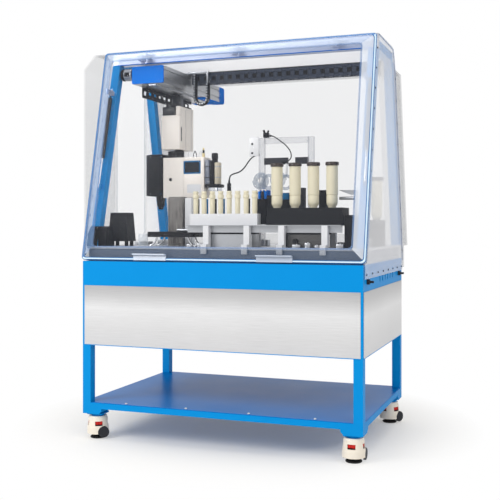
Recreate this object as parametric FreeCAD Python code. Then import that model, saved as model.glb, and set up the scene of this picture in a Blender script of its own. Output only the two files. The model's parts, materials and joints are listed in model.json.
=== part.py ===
import FreeCAD
import Part
import math
import os

from FreeCAD import Vector

# Automated sample preparation system, in millimetres.
# X runs to the operator's right, Y to the back, Z up from the floor.
# Sizes are worked out about the middle of the base; place() moves them to the part's origin,
# the middle of the whole outline on the floor. Depths called "_in" count back from the base's front.

# Base
BASE_WIDTH = 1300.0
BASE_DEPTH = 865.0
TUBE = 40.0
TUBE_WALL = 3.0
CASTER_HEIGHT = 116.0
BLOCK_SIDE = 95.0
BLOCK_HEIGHT = 24.0
BLOCK_CHAMFER = 14.0
SILL_HEIGHT = 26.0
SILL_DEPTH = 30.0
SHEET = 2.0
SHELF_THICK = 3.0
SHELF_INSET = 1.5
KNEE_SPACE = 263.0
PANEL_HEIGHT = 268.0
PANEL_INSET = 10.0
PANEL_LIP = 24.0
TOP_REVEAL = 9.0
BAND_HEIGHT = 101.0
BAND_WALL = 3.0
BAND_FLANGE = 36.0

# Openings and sockets in the band's right wall
VENT_COUNT = 6
VENT_PITCH = 58.0
VENT_WIDTH = 14.0
VENT_HEIGHT = 30.0
VENT_FIRST_IN = 330.0
PORT_RADIUS = 11.0
PORT_COLLAR = 12.0
PORT_STUB_RADIUS = 5.0
PORT_STUB = 16.0
FRONT_PORT_IN = 75.0
REAR_PORT_IN = 770.0
AIR_BORE_RADIUS = 3.0

# Deck
SKIRT_HEIGHT = 56.0
DECK_THICK = 10.0
DECK_FRONT_IN = 37.0
DECK_REAR_GAP = 14.0
DECK_SIDE_GAP = 1.0
SKIRT_INSET = 6.0

# Enclosure
ENCLOSURE_HEIGHT = 1001.0
DOOR_RUN = 252.0
PANE = 5.0
WINDOW_DROP = 58.0
WINDOW_FRONT_GAP = 5.0
ROOF_FRONT_IN = 286.0
ROOF_BEND = 70.0
BACK_TOP_IN = 662.0
POST_BEHIND_DOOR = 40.0
BACK_POST_GAP = 3.0
ROOF_RAIL_BOTTOM = 65.0
ROOF_RAIL_END_IN = 631.0
FRONT_BEAM_IN = 284.0

# Door
DOOR_OVERHANG = 11.0
DOOR_FLANGE = 25.0
DOOR_BOTTOM_GAP = 7.0
DOOR_TOP = 1018.0
DOOR_FLANGE_END = 970.0
DOOR_LIP = 20.0
HANDLE_WIDTH = 160.0
HANDLE_HEIGHT = 26.0
HANDLE_REACH = 22.0
HANDLE_THICK = 5.0
HANDLE_X = (-312.0, 270.0)
HINGE_UP = 1015.0
HINGE_BEHIND = 28.0
HINGE_X = (-470.0, 0.0, 470.0)
HINGE_PIN_RADIUS = 3.0
HINGE_KNUCKLE_RADIUS = 6.0
HINGE_SEGMENT = 26.0
RUNNING = 0.06
SEAT = 0.3

# Gas springs
SPRING_INSET = 18.0
SPRING_BEHIND = 24.0
SPRING_FOOT_UP = 361.0
SPRING_LENGTH = 462.0
SPRING_TUBE_RADIUS = 10.0
SPRING_TUBE_LENGTH = 300.0
SPRING_ROD_RADIUS = 4.0
SPRING_EYE_RADIUS = 7.0
SPRING_EYE_THICK = 10.0
SPRING_NECK = 22.0
SPRING_STUD_RADIUS = 5.0
SPRING_PIN_RADIUS = 4.0

# Left and rear bays of the enclosure
LEFT_BAY_WIDTH = 171.0
LEFT_BAY_FRONT_IN = 300.0
LEFT_BAY_REAR_IN = 640.0
LEFT_BAY_CHAMFER_X = 60.0
LEFT_BAY_CHAMFER_Z = 68.0
BAY_RIM = 24.0
BAY_CORNER = 60.0
REAR_BAY_DEPTH = 370.0
REAR_BAY_INSET = 32.0
REAR_BAY_TOP = 61.0
REAR_BAY_BOTTOM = 56.0
REAR_CUT_INSET = 75.0
REAR_CUT_LEFT_CORNER = 60.0
REAR_CUT_RIGHT_CORNER = 120.0
REAR_CUT_TOP = 72.0
REAR_CUT_BOTTOM = 120.0
CABLE_BOX_DEPTH = 300.0
CABLE_BOX_DROP = 58.0

# Gantry
FASCIA_IN = 548.0
FASCIA_THICK = 4.0
FASCIA_HEIGHT = 60.0
FASCIA_DROP = 11.0
GANTRY_IN = 560.0
GANTRY_DEPTH = 60.0
GANTRY_TOP_DROP = 15.0
GANTRY_HEIGHT = 50.0
RAIL_WIDTH = 15.0
RAIL_DROP = 8.0
CHAIN_HEIGHT = 56.0
CHAIN_DEPTH = 40.0
CHAIN_LINK = 30.0
CHAIN_GAP = 12.0
CARRIAGE_WIDTH = 150.0
CARRIAGE_HEIGHT = 14.0
CARRIAGE_FRONT_IN = 554.0
CARRIAGE_REAR_IN = 640.0
ARM_INSET = 202.5
ARM_WIDTH = 165.0
ARM_HEIGHT = 82.0
ARM_FRONT_IN = 256.0
ARM_LENGTH = 744.0
ARM_CAP = 10.0
ARM_GROOVE = 8.0
MOTOR_RADIUS = 29.0
MOTOR_LENGTH = 72.0
MOTOR_IN = 292.0
ARM_RAIL_WIDTH = 36.0
ARM_RAIL_START = 6.0
ARM_RAIL_SHORT = 110.0
ARM_CHAIN_WIDTH = 24.0
ARM_CHAIN_HEIGHT = 50.0
ARM_CHAIN_IN = 350.0
ARM_CHAIN_LENGTH = 540.0

# Lifting head
HEAD_OFF_ARM = 17.5
HEAD_WIDTH = 100.0
HEAD_DEPTH = 168.0
HEAD_HEIGHT = 249.0
HEAD_FRONT_IN = 465.0
HEAD_CARRIAGE = 40.0
HEAD_MOTOR_WIDTH = 80.0
HEAD_MOTOR_DEPTH = 34.0
RAM_WIDTH = 40.0
RAM_DEPTH = 50.0
RAM_SETBACK = 40.0
RAM_DROP = 42.0
RAM_LENGTH = 251.0
COIL_CABLE_WIRE = 5.0
BOX_WIDTH = 221.0
BOX_HEIGHT = 200.0
BOX_DEPTH = 95.0
BOX_LEFT = -40.0
SCREEN_WIDTH = 92.0
SCREEN_HEIGHT = 64.0
SCREEN_RECESS = 2.0
SCREEN_RIGHT_GAP = 19.0
SCREEN_TOP_GAP = 18.0
BUTTON_RADIUS = 5.0
BUTTON_TRAVEL = 2.0
BUTTON_PROUD = 3.0
BUTTON_PLAY = 0.25
BUTTON_WELL = 8.0
BUTTON_X = 40.0
BUTTON_Z = 91.0
DISPENSER_WIDTH = 93.0
DISPENSER_GAP = 4.0
DISPENSER_HEIGHT = 210.0
DISPENSER_DEPTH = 80.0
DISPENSER_RISE = 19.0
NOZZLE_RADIUS = 23.0
NOZZLE_LENGTH = 66.0
GRIPPER_RADIUS = 39.0

# Things on the deck; the middle one's places are shares of the base's half width
POST_SHARES = (-0.1015, 0.1908, 0.4346, 0.7269)
POST_SIDE = 26.0
POST_FRONT_IN = 58.0
POST_REAR_SETBACK = 20.0
HOOK_THICK = 8.0
HOOK_HEIGHT = 14.0
HOOK_DROP = 28.0
RACK_SHELF_HEIGHT = 98.0
RACK_SHELF_DEPTH = 178.0
RACK_SHELF_THICK = 3.0
RACK_SHELF_LEFT = 100.0
RACK_SHELF_RIGHT = 70.0
RACK_APRON = 33.0
APRON_GAP = 2.0
STEEL_BOX_GAP = 8.0
STEEL_BOX_DEPTH = 92.0
STEEL_BOX_INSET = 17.0
COLUMN_OFF_ARM = 127.0
COLUMN_WIDTH = 88.0
COLUMN_DEPTH = 52.0
COLUMN_IN = 290.0
COLUMN_HEIGHT = 226.0
COLUMN_ROUND = 14.0
COLUMN_CAP = 6.0
WHITE_COLUMN = 36.0
WHITE_COLUMN_ROUND = 4.0
SMALL_COUNT = 8
SMALL_PITCH_SHARE = 0.06215
SMALL_FIRST_SHARE = -0.2262
SMALL_IN = 135.0
SMALL_RADIUS = 11.5
SMALL_HEIGHT = 151.0
WHITE_RACK_HEIGHT = 50.0
WHITE_RACK_DEPTH = 46.0
WHITE_RACK_END = 20.0
CLIP_ON = 4
CLIP_HEIGHT = 34.0
CLIP_RADIUS = 9.0
LARGE_COUNT = 4
LARGE_PITCH_SHARE = 0.128
LARGE_FIRST_SHARE = 0.3492
LARGE_IN = 170.0
LARGE_RADIUS = 25.0
LARGE_HEIGHT = 198.0
LARGE_NECK = 18.0
LARGE_SOCKET = 30.0
BLACK_RACK_HEIGHT = 74.0
BLACK_RACK_DEPTH = 120.0
BLACK_RACK_LEFT = 32.0
BLACK_RACK_RIGHT = 64.0
BLACK_RACK_STEP = 3.0
SIDE_RACK_INSET = 48.0
SIDE_RACK_IN = 500.0
SIDE_RACK_SIDE = 66.0
SIDE_RACK_HEIGHT = 121.0
STAND_LEFT_SHARE = 0.1708
STAND_RIGHT_SHARE = 0.5308
STAND_IN = 290.0
STAND_HEIGHT = 496.0
STAND_COLUMN = 26.0
STAND_BEAM = 27.0
STAND_BEAM_DEPTH = 18.0
STAND_BLOCK = 24.0
STAND_BLOCK_HEIGHT = 20.0
CLAMP_BAR_HEIGHT = 30.0
CLAMP_BAR_DEPTH = 15.0
CLAMP_BAR_DROP = 92.0
LEFT_BAR_LENGTH = 112.0
RIGHT_BAR_LENGTH = 60.0
VALVE_WIDTH = 47.0
VALVE_HEIGHT = 44.0
VALVE_DEPTH = 34.0
VALVE_TOP = 255.0
COIL_RADII = (39.0, 31.0)
COIL_WIRE = 3.0
COIL_UP = 300.0
COIL_SIDES = 8
TALL_BOX_INSET = 50.0
TALL_BOX_WIDTH = 55.0
TALL_BOX_DEPTH = 125.0
TALL_BOX_IN = 110.0
TALL_BOX_HEIGHT = 140.0
MAST_RADIUS = 8.0
MAST_HEIGHT = 109.0
MAST_IN = 216.0
MAST_PLATE = 69.0
MAST_PLATE_HEIGHT = 21.0
MAST_PLATE_FOOT = 22.0
MAST_BAR_DROP = 35.0
MAST_BAR_LENGTH = 75.0
MAST_BAR_RADIUS = 7.0
LAY_ROD_OFF_TRAY = 111.0
LAY_ROD_LENGTH = 121.0
LAY_ROD_RADIUS = 7.0
LAY_ROD_IN = 215.0
KNOB_SHARE = 0.5185
KNOB_RADIUS = 11.0
KNOB_LENGTH = 14.0
KNOB_UP = 28.0
TRAY_INSET = 263.0
TRAY_WIDTH = 238.0
TRAY_IN = 120.0
TRAY_DEPTH = 130.0
TRAY_UNDER = 43.0
TRAY_THICK = 24.0
TRAY_WALL = 8.0
TRAY_FLOOR = 6.0
TRAY_ROUND = 12.0
TRAY_LEG_RADIUS = 4.0
TRAY_LEG_INSET = 40.0
TRAY_LEG_SPREAD = 25.0
TAPER_INSET = 45.0
TAPER_IN = 150.0
TAPER_WIDTH = 105.0
TAPER_DEPTH = 80.0
TAPER_HEIGHT = 134.0
TAPER_TOP = (9.0, 9.0, 8.0)
TAPER_FOOT = 22.0
TAPER_FOOT_RADIUS = 9.0
TAPER_FOOT_INSET = 15.0
CORNER_UNIT_HEIGHT = 92.0
CORNER_UNIT_SLOPE = 30.0
CORNER_UNIT_BEHIND = (13.0, 27.0)
CORNER_BOX_WIDTH = 44.0
CORNER_BOX_DEPTH = 54.0
CORNER_BOX_IN = 66.0
CORNER_BOX_CHAMFER = 16.0
SMALL_ROUND = 3.0
BEAKER_INSET = 230.0
BEAKER_IN = 150.0
BEAKER_RADIUS = 22.0
BEAKER_HEIGHT = 57.0
BEAKER_WALL = 2.0

# Casters
CASTER_INSET = 50.0
BELL_RADIUS = 49.0
BELL_TOP_RADIUS = 40.0
BELL_WALL = 6.0
WHEEL_RADIUS = 25.0
WHEEL_LIFT = 6.0
WHEEL_WIDTH = 11.0
WHEEL_CHAMFER = 1.5
WHEEL_TRAIL = 22.0
AXLE_RADIUS = 4.0
THUMB_RADIUS = 41.5
THUMB_HEIGHT = 25.7
THUMB_SCALLOPS = 12
STEM_RADIUS = 8.0
PAD_RADIUS = 34.5
PAD_HEIGHT = 19.0
SWIVEL_RADIUS = 30.0

HALF_W = BASE_WIDTH / 2
HALF_D = BASE_DEPTH / 2
SPRING_X = HALF_W - SPRING_INSET
REAR_BAY_HALF = HALF_W - REAR_BAY_INSET
REAR_CUT_HALF = HALF_W - REAR_CUT_INSET
ARM_X = ARM_INSET - HALF_W
HEAD_X = ARM_X + HEAD_OFF_ARM
COLUMN_X = ARM_X + COLUMN_OFF_ARM
POST_X = [HALF_W * share for share in POST_SHARES]
SMALL_PITCH = HALF_W * SMALL_PITCH_SHARE
SMALL_FIRST_X = HALF_W * SMALL_FIRST_SHARE
LARGE_PITCH = HALF_W * LARGE_PITCH_SHARE
LARGE_FIRST_X = HALF_W * LARGE_FIRST_SHARE
SIDE_RACK_X = HALF_W - SIDE_RACK_INSET
STAND_LEFT_X = HALF_W * STAND_LEFT_SHARE
STAND_RIGHT_X = HALF_W * STAND_RIGHT_SHARE
TALL_BOX_RIGHT = HALF_W - TALL_BOX_INSET
MAST_X = TALL_BOX_RIGHT - TALL_BOX_WIDTH / 2
TRAY_LEFT_X = TRAY_INSET - HALF_W
TAPER_X = TAPER_INSET - HALF_W
BEAKER_X = BEAKER_INSET - HALF_W
SILL_Z = CASTER_HEIGHT + BLOCK_HEIGHT
SHELF_TOP = SILL_Z + SILL_HEIGHT + SHELF_THICK
PANEL_BOTTOM = SHELF_TOP + KNEE_SPACE
PANEL_TOP = PANEL_BOTTOM + PANEL_HEIGHT
BAND_BOTTOM = PANEL_TOP + TOP_REVEAL
BAND_TOP = BAND_BOTTOM + BAND_HEIGHT
DECK_TOP = BAND_TOP + SKIRT_HEIGHT + DECK_THICK
ROOF_TOP = BAND_TOP + ENCLOSURE_HEIGHT
DOOR_LEAN = math.atan2(DOOR_RUN, ENCLOSURE_HEIGHT)
BACK_SLOPE = (BASE_DEPTH - BACK_TOP_IN) / (ENCLOSURE_HEIGHT - ROOF_BEND)
WINDOW_OUT = HALF_W + PANE
DOOR_OUT = HALF_W + DOOR_OVERHANG
GANTRY_BOTTOM = ROOF_TOP - GANTRY_TOP_DROP - GANTRY_HEIGHT
RAIL_BOTTOM = GANTRY_BOTTOM - RAIL_DROP
ARM_TOP = RAIL_BOTTOM - RAIL_DROP
ARM_BOTTOM = ARM_TOP - ARM_HEIGHT
HEAD_TOP = ARM_BOTTOM - HEAD_CARRIAGE - ARM_GROOVE
HEAD_BOTTOM = HEAD_TOP - HEAD_HEIGHT
BOX_TOP = HEAD_BOTTOM - RAM_DROP
RACK_FLOOR = DECK_TOP + RACK_SHELF_HEIGHT
PORT_REACH = PORT_COLLAR + PORT_STUB
LEFT_EDGE = -WINDOW_OUT - LEFT_BAY_WIDTH
RIGHT_EDGE = max(DOOR_OUT, HALF_W + PORT_REACH)


def back(depth_in):
    """The Y of a depth counted back from the base's front face."""
    return depth_in - HALF_D


def door_point(up, behind):
    """Y and Z of a point so far up the closed door's outer face and so far behind it."""
    y = back(up * math.sin(DOOR_LEAN) + behind * math.cos(DOOR_LEAN))
    z = BAND_TOP + up * math.cos(DOOR_LEAN) - behind * math.sin(DOOR_LEAN)
    return y, z


def door_y(behind, z):
    """The Y at height z of the line so far behind the closed door's outer face."""
    return back(behind / math.cos(DOOR_LEAN) + (z - BAND_TOP) * math.tan(DOOR_LEAN))


def back_y(inside, z):
    """The Y at height z of the line so far inside the sloping back's outer face."""
    lean = math.atan(BACK_SLOPE)
    return back(BASE_DEPTH - (z - BAND_TOP) * BACK_SLOPE - inside / math.cos(lean))


def box(x0, x1, y0, y1, z0, z1):
    return Part.makeBox(x1 - x0, y1 - y0, z1 - z0, Vector(x0, y0, z0))


def rod(x, y, z, radius, length, axis=(0, 0, 1)):
    return Part.makeCylinder(radius, length, Vector(x, y, z), Vector(*axis))


def prism_x(points, x0, x1):
    """A Y-Z outline drawn out from x0 to x1."""
    loop = [Vector(x0, y, z) for y, z in points]
    face = Part.Face(Part.makePolygon(loop + loop[:1]))
    return face.extrude(Vector(x1 - x0, 0, 0))


def prism_y(points, y0, y1):
    """An X-Z outline drawn out from y0 to y1."""
    loop = [Vector(x, y0, z) for x, z in points]
    face = Part.Face(Part.makePolygon(loop + loop[:1]))
    return face.extrude(Vector(0, y1 - y0, 0))


def turned(points, x, y, z=0.0):
    """A radius-height outline turned about the vertical through x, y."""
    loop = [Vector(r, 0, h) for r, h in points]
    face = Part.Face(Part.makePolygon(loop + loop[:1]))
    solid = face.revolve(Vector(0, 0, 0), Vector(0, 0, 1), 360)
    solid.translate(Vector(x, y, z))
    return solid


def rounded(shape, radius, pick):
    """Fillet the edges that pick() chooses."""
    return shape.makeFillet(radius, [e for e in shape.Edges if pick(e)])


def upright(edge):
    low = edge.BoundBox
    return low.XLength < 0.01 and low.YLength < 0.01 and low.ZLength > 1


def along_x(edge):
    low = edge.BoundBox
    return low.YLength < 0.01 and low.ZLength < 0.01 and low.XLength > 1


def along_y(edge):
    low = edge.BoundBox
    return low.XLength < 0.01 and low.ZLength < 0.01 and low.YLength > 1


def tube(x0, x1, y0, y1, z0, z1, axis):
    """A square tube whose bore runs along the axis "x", "y" or "z"."""
    w = TUBE_WALL
    inner = {
        "x": (x0 - 1, x1 + 1, y0 + w, y1 - w, z0 + w, z1 - w),
        "y": (x0 + w, x1 - w, y0 - 1, y1 + 1, z0 + w, z1 - w),
        "z": (x0 + w, x1 - w, y0 + w, y1 - w, z0 - 1, z1 + 1),
    }[axis]
    return box(x0, x1, y0, y1, z0, z1).cut(box(*inner))


def mirrored_x(shape):
    return shape.mirror(Vector(0, 0, 0), Vector(1, 0, 0))


def mirrored_y(shape):
    return shape.mirror(Vector(0, 0, 0), Vector(0, 1, 0))


def four_corners(shape):
    """The front right piece and its mirror images at the other three corners."""
    right = [shape, mirrored_y(shape)]
    return right + [mirrored_x(s) for s in right]


def place(shape):
    """Move a shape from the base's middle to the part's origin."""
    middle_x = (LEFT_EDGE + RIGHT_EDGE) / 2
    handle_low = DOOR_BOTTOM_GAP + HANDLE_HEIGHT - HANDLE_THICK
    front = door_point(handle_low, -HANDLE_REACH)[0]
    rear = back_y(0, BAND_TOP + REAR_BAY_BOTTOM) + REAR_BAY_DEPTH
    middle_y = (front + rear) / 2
    moved = shape.copy()
    moved.translate(Vector(-middle_x, -middle_y, 0))
    return moved


def save(name, *solids):
    shape = solids[0] if len(solids) == 1 else Part.makeCompound(list(solids))
    place(shape).exportStep(os.path.join("parts", name + ".step"))


def base_frame():
    """Blue welded frame: legs, chamfered corner blocks, sills and the top ring, as square tube."""
    inner = HALF_W - TUBE
    deep = HALF_D - TUBE
    leg = tube(inner, HALF_W, -HALF_D, -deep, SILL_Z, BAND_BOTTOM, "z")
    block = box(HALF_W - BLOCK_SIDE, HALF_W, -HALF_D, -HALF_D + BLOCK_SIDE, CASTER_HEIGHT, SILL_Z)
    low = [e for e in block.Edges if e.BoundBox.ZMax < CASTER_HEIGHT + 0.01]
    hidden = [e for e in low if e.BoundBox.XMax < HALF_W - 1 or e.BoundBox.YMin > -HALF_D + 1]
    block = block.makeChamfer(BLOCK_CHAMFER, hidden)
    sill_z = SILL_Z + SILL_HEIGHT
    ring_z = BAND_BOTTOM - TUBE
    front_sill = tube(-inner, inner, -HALF_D, -HALF_D + SILL_DEPTH, SILL_Z, sill_z, "x")
    side_sill = tube(HALF_W - SILL_DEPTH, HALF_W, -deep, deep, SILL_Z, sill_z, "y")
    front_ring = tube(-inner, inner, -HALF_D, -deep, ring_z, BAND_BOTTOM, "x")
    side_ring = tube(inner, HALF_W, -deep, deep, ring_z, BAND_BOTTOM, "y")
    rails = [front_sill, mirrored_y(front_sill), side_sill, mirrored_x(side_sill)]
    rails += [front_ring, mirrored_y(front_ring), side_ring, mirrored_x(side_ring)]
    plates = [caster_plate(x, y) for x in (-1, 1) for y in (-1, 1)]
    save("base_frame", *four_corners(leg), *four_corners(block), *rails, *plates)


def base_shelf():
    """Shelf sheet lying on the sills, notched round the legs."""
    x = HALF_W - SHELF_INSET
    y = HALF_D - SHELF_INSET
    sheet = box(-x, x, -y, y, SHELF_TOP - SHELF_THICK, SHELF_TOP)
    notch = TUBE + SHELF_INSET
    z = SHELF_TOP
    corner = box(HALF_W - notch, HALF_W + 1, -HALF_D - 1, -HALF_D + notch, z - 10, z + 10)
    save("base_shelf", sheet.cut(Part.makeCompound(four_corners(corner))))


def skirt_panel(half, face, sign):
    """A brushed sheet on the legs' faces with a lip folded in under it; half is half its length."""
    outline = box(-half, half, -SHEET, 0, PANEL_BOTTOM, PANEL_TOP)
    lip = box(-half + TUBE, half - TUBE, -SHEET, PANEL_LIP, PANEL_BOTTOM, PANEL_BOTTOM + SHEET)
    sheet = outline.fuse(lip).removeSplitter()
    sheet.translate(Vector(0, -face, 0))
    if sign == "side":
        sheet.rotate(Vector(0, 0, 0), Vector(0, 0, 1), 90)
    return sheet


def skirt_panels():
    """Four brushed panels round the base and the pan that closes it underneath."""
    front = skirt_panel(HALF_W - PANEL_INSET, HALF_D, "front")
    side = skirt_panel(HALF_D - PANEL_INSET, HALF_W, "side")
    z = PANEL_BOTTOM + SHEET
    pan_x = HALF_W - SEAT
    pan_y = HALF_D - SEAT
    pan = box(-pan_x, pan_x, -pan_y, pan_y, z, z + SHEET)
    notch = TUBE + SEAT
    corner = box(HALF_W - notch, HALF_W + 1, -HALF_D - 1, -HALF_D + notch, z - 5, z + 10)
    pan = pan.cut(Part.makeCompound(four_corners(corner)))
    save("skirt_panels", front, mirrored_y(front), side, mirrored_x(side), pan)


def base_band():
    """Blue band round the base's top, with vents and sockets in its right wall."""
    wall = box(-HALF_W, HALF_W, -HALF_D, HALF_D, BAND_BOTTOM, BAND_TOP)
    x = HALF_W - BAND_WALL
    y = HALF_D - BAND_WALL
    room = box(-x, x, -y, y, BAND_BOTTOM - 1, BAND_TOP - BAND_WALL)
    x = HALF_W - BAND_FLANGE
    y = HALF_D - BAND_FLANGE
    mouth = box(-x, x, -y, y, BAND_BOTTOM, BAND_TOP + 1)
    band = wall.cut(room).cut(mouth)
    middle = BAND_BOTTOM + 0.3 * BAND_HEIGHT
    for i in range(VENT_COUNT):
        y = back(VENT_FIRST_IN + i * VENT_PITCH)
        slot = box(x, HALF_W + 1, y, y + VENT_WIDTH, middle - VENT_HEIGHT / 2, middle + VENT_HEIGHT / 2)
        band = band.cut(rounded(slot, VENT_WIDTH / 2 - 0.5, along_x))
    for depth_in in (FRONT_PORT_IN, REAR_PORT_IN):
        hole = rod(x, back(depth_in), middle, PORT_RADIUS - 3, 2 * BAND_FLANGE, (1, 0, 0))
        band = band.cut(hole)
    save("base_band", band)


def band_ports():
    """Two bulkhead sockets in the band's right wall, each a dark collar with a bright bored stub."""
    z = BAND_BOTTOM + 0.3 * BAND_HEIGHT
    ports = []
    for depth_in in (FRONT_PORT_IN, REAR_PORT_IN):
        y = back(depth_in)
        collar = rod(HALF_W, y, z, PORT_RADIUS, PORT_COLLAR, (1, 0, 0))
        tail = rod(HALF_W - BAND_WALL - 8, y, z, PORT_RADIUS - 3, BAND_WALL + 8, (1, 0, 0))
        stub = rod(HALF_W + PORT_COLLAR, y, z, PORT_STUB_RADIUS, PORT_STUB, (1, 0, 0))
        bore = rod(HALF_W + PORT_COLLAR, y, z, AIR_BORE_RADIUS, PORT_STUB + 1, (1, 0, 0))
        ports += [collar.fuse(tail).removeSplitter(), stub.cut(bore)]
    save("band_ports", *ports)


def deck():
    """Deck plate on its recessed stainless skirt."""
    side = HALF_W - DECK_SIDE_GAP
    front = back(DECK_FRONT_IN)
    rear = back_y(PANE, DECK_TOP) - DECK_REAR_GAP
    z = BAND_TOP + SKIRT_HEIGHT
    save("deck_plate", box(-side, side, front, rear, z, DECK_TOP))
    x = side - SKIRT_INSET
    y0 = front + SKIRT_INSET
    y1 = rear - SKIRT_INSET
    outer = box(-x, x, y0, y1, BAND_TOP, z)
    w = SHEET
    room = box(-x + w, x - w, y0 + w, y1 - w, BAND_TOP - 1, z + 1)
    save("deck_skirt", outer.cut(room))


def hinge_y_z():
    return door_point(HINGE_UP, HINGE_BEHIND)


def enclosure_frame():
    """Blue tubes that carry the clear covers, with the door's fixed hinge halves."""
    inner = HALF_W - TUBE
    top = ROOF_TOP - ROOF_RAIL_BOTTOM
    near = POST_BEHIND_DOOR
    low, high = DECK_TOP, top
    front_post = prism_x(
        [
            (door_y(near, low), low),
            (door_y(near + TUBE, low), low),
            (door_y(near + TUBE, high), high),
            (door_y(near, high), high),
        ],
        inner,
        HALF_W,
    )
    near = PANE + BACK_POST_GAP
    rear_post = prism_x(
        [
            (back_y(near + TUBE, low), low),
            (back_y(near, low), low),
            (back_y(near, high), high),
            (back_y(near + TUBE, high), high),
        ],
        inner,
        HALF_W,
    )
    beam_y = back(FRONT_BEAM_IN)
    rail = tube(inner, HALF_W, beam_y + TUBE, back(ROOF_RAIL_END_IN), top, top + TUBE, "y")
    halves = []
    y, z = hinge_y_z()
    for x in HINGE_X:
        pin = rod(x - 1.5 * HINGE_SEGMENT, y, z, HINGE_PIN_RADIUS, 3 * HINGE_SEGMENT, (1, 0, 0))
        for side in (-1, 1):
            start = x + side * HINGE_SEGMENT - HINGE_SEGMENT / 2 + SEAT
            knuckle = rod(start, y, z, HINGE_KNUCKLE_RADIUS, HINGE_SEGMENT - 2 * SEAT, (1, 0, 0))
            leaf = box(start, start + HINGE_SEGMENT - 2 * SEAT, y, beam_y, z - 3, z + 3)
            pin = pin.fuse(knuckle).fuse(leaf)
        halves.append(pin.removeSplitter())
    posts = [front_post, mirrored_x(front_post), rear_post, mirrored_x(rear_post)]
    brackets = spring_foot(1) + spring_foot(-1)
    save("enclosure_frame", *posts, rail, mirrored_x(rail), *halves, *brackets)


def window_outline():
    """Y-Z outline of a side window: leaning front edge, roof line, bent rear corner, sloping back."""
    gap = PANE + WINDOW_FRONT_GAP
    low = BAND_TOP - WINDOW_DROP
    nose = door_point(HINGE_UP + 8, gap)
    bend = roof_bend_points(0)
    start = (back(gap + 4), low)
    return [
        start,
        (back(gap + 4), BAND_TOP + 5),
        (door_y(gap, BAND_TOP + 5 + gap), BAND_TOP + 5 + gap),
        nose,
        (back(ROOF_FRONT_IN + 4), ROOF_TOP),
        *bend,
        (back(BASE_DEPTH), BAND_TOP),
        (back(BASE_DEPTH), low),
    ]


def roof_bend_points(inside):
    """Start, middle and end of the bend between roof and back, at a depth inside their outer face."""
    lean = math.atan(BACK_SLOPE)
    turn = math.pi / 2 - lean
    reach = ROOF_BEND * math.tan(turn / 2)
    corner_y = back_y(0, ROOF_TOP)
    y = corner_y - reach
    z = ROOF_TOP - ROOF_BEND
    r = ROOF_BEND - inside
    ends = [math.pi / 2, math.pi / 2 - turn / 2, math.pi / 2 - turn]
    return [(y + r * math.cos(a), z + r * math.sin(a)) for a in ends]


def outline_face(points, x, arc_at):
    """A Y-Z face whose points arc_at, arc_at + 1 and arc_at + 2 are joined by an arc."""
    loop = [Vector(x, y, z) for y, z in points]
    edges = []
    i = 0
    while i < len(loop):
        after = loop[(i + 1) % len(loop)]
        if i == arc_at:
            far = loop[(i + 2) % len(loop)]
            edges.append(Part.Arc(loop[i], after, far).toShape())
            i += 2
        else:
            edges.append(Part.makeLine(loop[i], after))
            i += 1
    return Part.Face(Part.Wire(edges))


def side_windows():
    """Clear side windows; the left one is cut out where the left bay stands on it."""
    points = window_outline()
    pane = outline_face(points, HALF_W, 5).extrude(Vector(PANE, 0, 0))
    other = mirrored_x(pane)
    y0 = back(LEFT_BAY_FRONT_IN + BAY_RIM)
    y1 = back(LEFT_BAY_REAR_IN - BAY_RIM)
    z0 = DECK_TOP + BAY_RIM
    z1 = ROOF_TOP - ROOF_RAIL_BOTTOM - BAY_RIM
    hole = rounded(box(-WINDOW_OUT - 1, -HALF_W + 1, y0, y1, z0, z1), BAY_CORNER, along_x)
    save("side_windows", pane, other.cut(hole))


def back_cover():
    """One clear sheet bent from the roof down the sloping back, cut out for the arm's tail."""
    outer = roof_bend_points(0)
    inner = roof_bend_points(PANE)
    low = BAND_TOP
    front = back(ROOF_FRONT_IN)
    face = Part.Face(
        Part.Wire(
            [
                Part.makeLine(flat(front, ROOF_TOP), flat(*outer[0])),
                Part.Arc(*[flat(*p) for p in outer]).toShape(),
                Part.makeLine(flat(*outer[2]), flat(back_y(0, low), low)),
                Part.makeLine(flat(back_y(0, low), low), flat(back_y(PANE, low), low)),
                Part.makeLine(flat(back_y(PANE, low), low), flat(*inner[2])),
                Part.Arc(*[flat(*p) for p in reversed(inner)]).toShape(),
                Part.makeLine(flat(*inner[0]), flat(front, ROOF_TOP - PANE)),
                Part.makeLine(flat(front, ROOF_TOP - PANE), flat(front, ROOF_TOP)),
            ]
        )
    )
    sheet = face.extrude(Vector(BASE_WIDTH, 0, 0))
    x = REAR_CUT_HALF
    z1 = ROOF_TOP - REAR_CUT_TOP
    z0 = BAND_TOP + REAR_CUT_BOTTOM
    hole = box(-x, x, back_y(PANE, z1) - 60, back(BASE_DEPTH) + 10, z0, z1)
    hole = rounded(hole, REAR_CUT_RIGHT_CORNER, lambda e: along_y(e) and e.BoundBox.XMin > 0)
    hole = rounded(hole, REAR_CUT_LEFT_CORNER, lambda e: along_y(e) and e.BoundBox.XMax < 1 - x)
    save("back_cover", sheet.cut(hole))


def flat(y, z):
    """A point at the left edge of the sheet that covers the back."""
    return Vector(-HALF_W, y, z)


def left_bay():
    """Clear bay on the left window, with a chamfered top."""
    y0 = back(LEFT_BAY_FRONT_IN)
    y1 = back(LEFT_BAY_REAR_IN)

    def profile(wall):
        left = LEFT_EDGE + wall
        top = ROOF_TOP - wall
        cut = wall * math.tan(math.pi / 8)
        return [
            (-WINDOW_OUT + (wall and 1), BAND_TOP + 2 + wall),
            (left, BAND_TOP + 2 + wall),
            (left, ROOF_TOP - LEFT_BAY_CHAMFER_Z - cut),
            (left + LEFT_BAY_CHAMFER_X - cut, top),
            (-WINDOW_OUT + (wall and 1), top),
        ]

    shell = prism_y(profile(0), y0, y1).cut(prism_y(profile(PANE), y0 + PANE, y1 - PANE))
    save("left_bay", shell)


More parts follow.
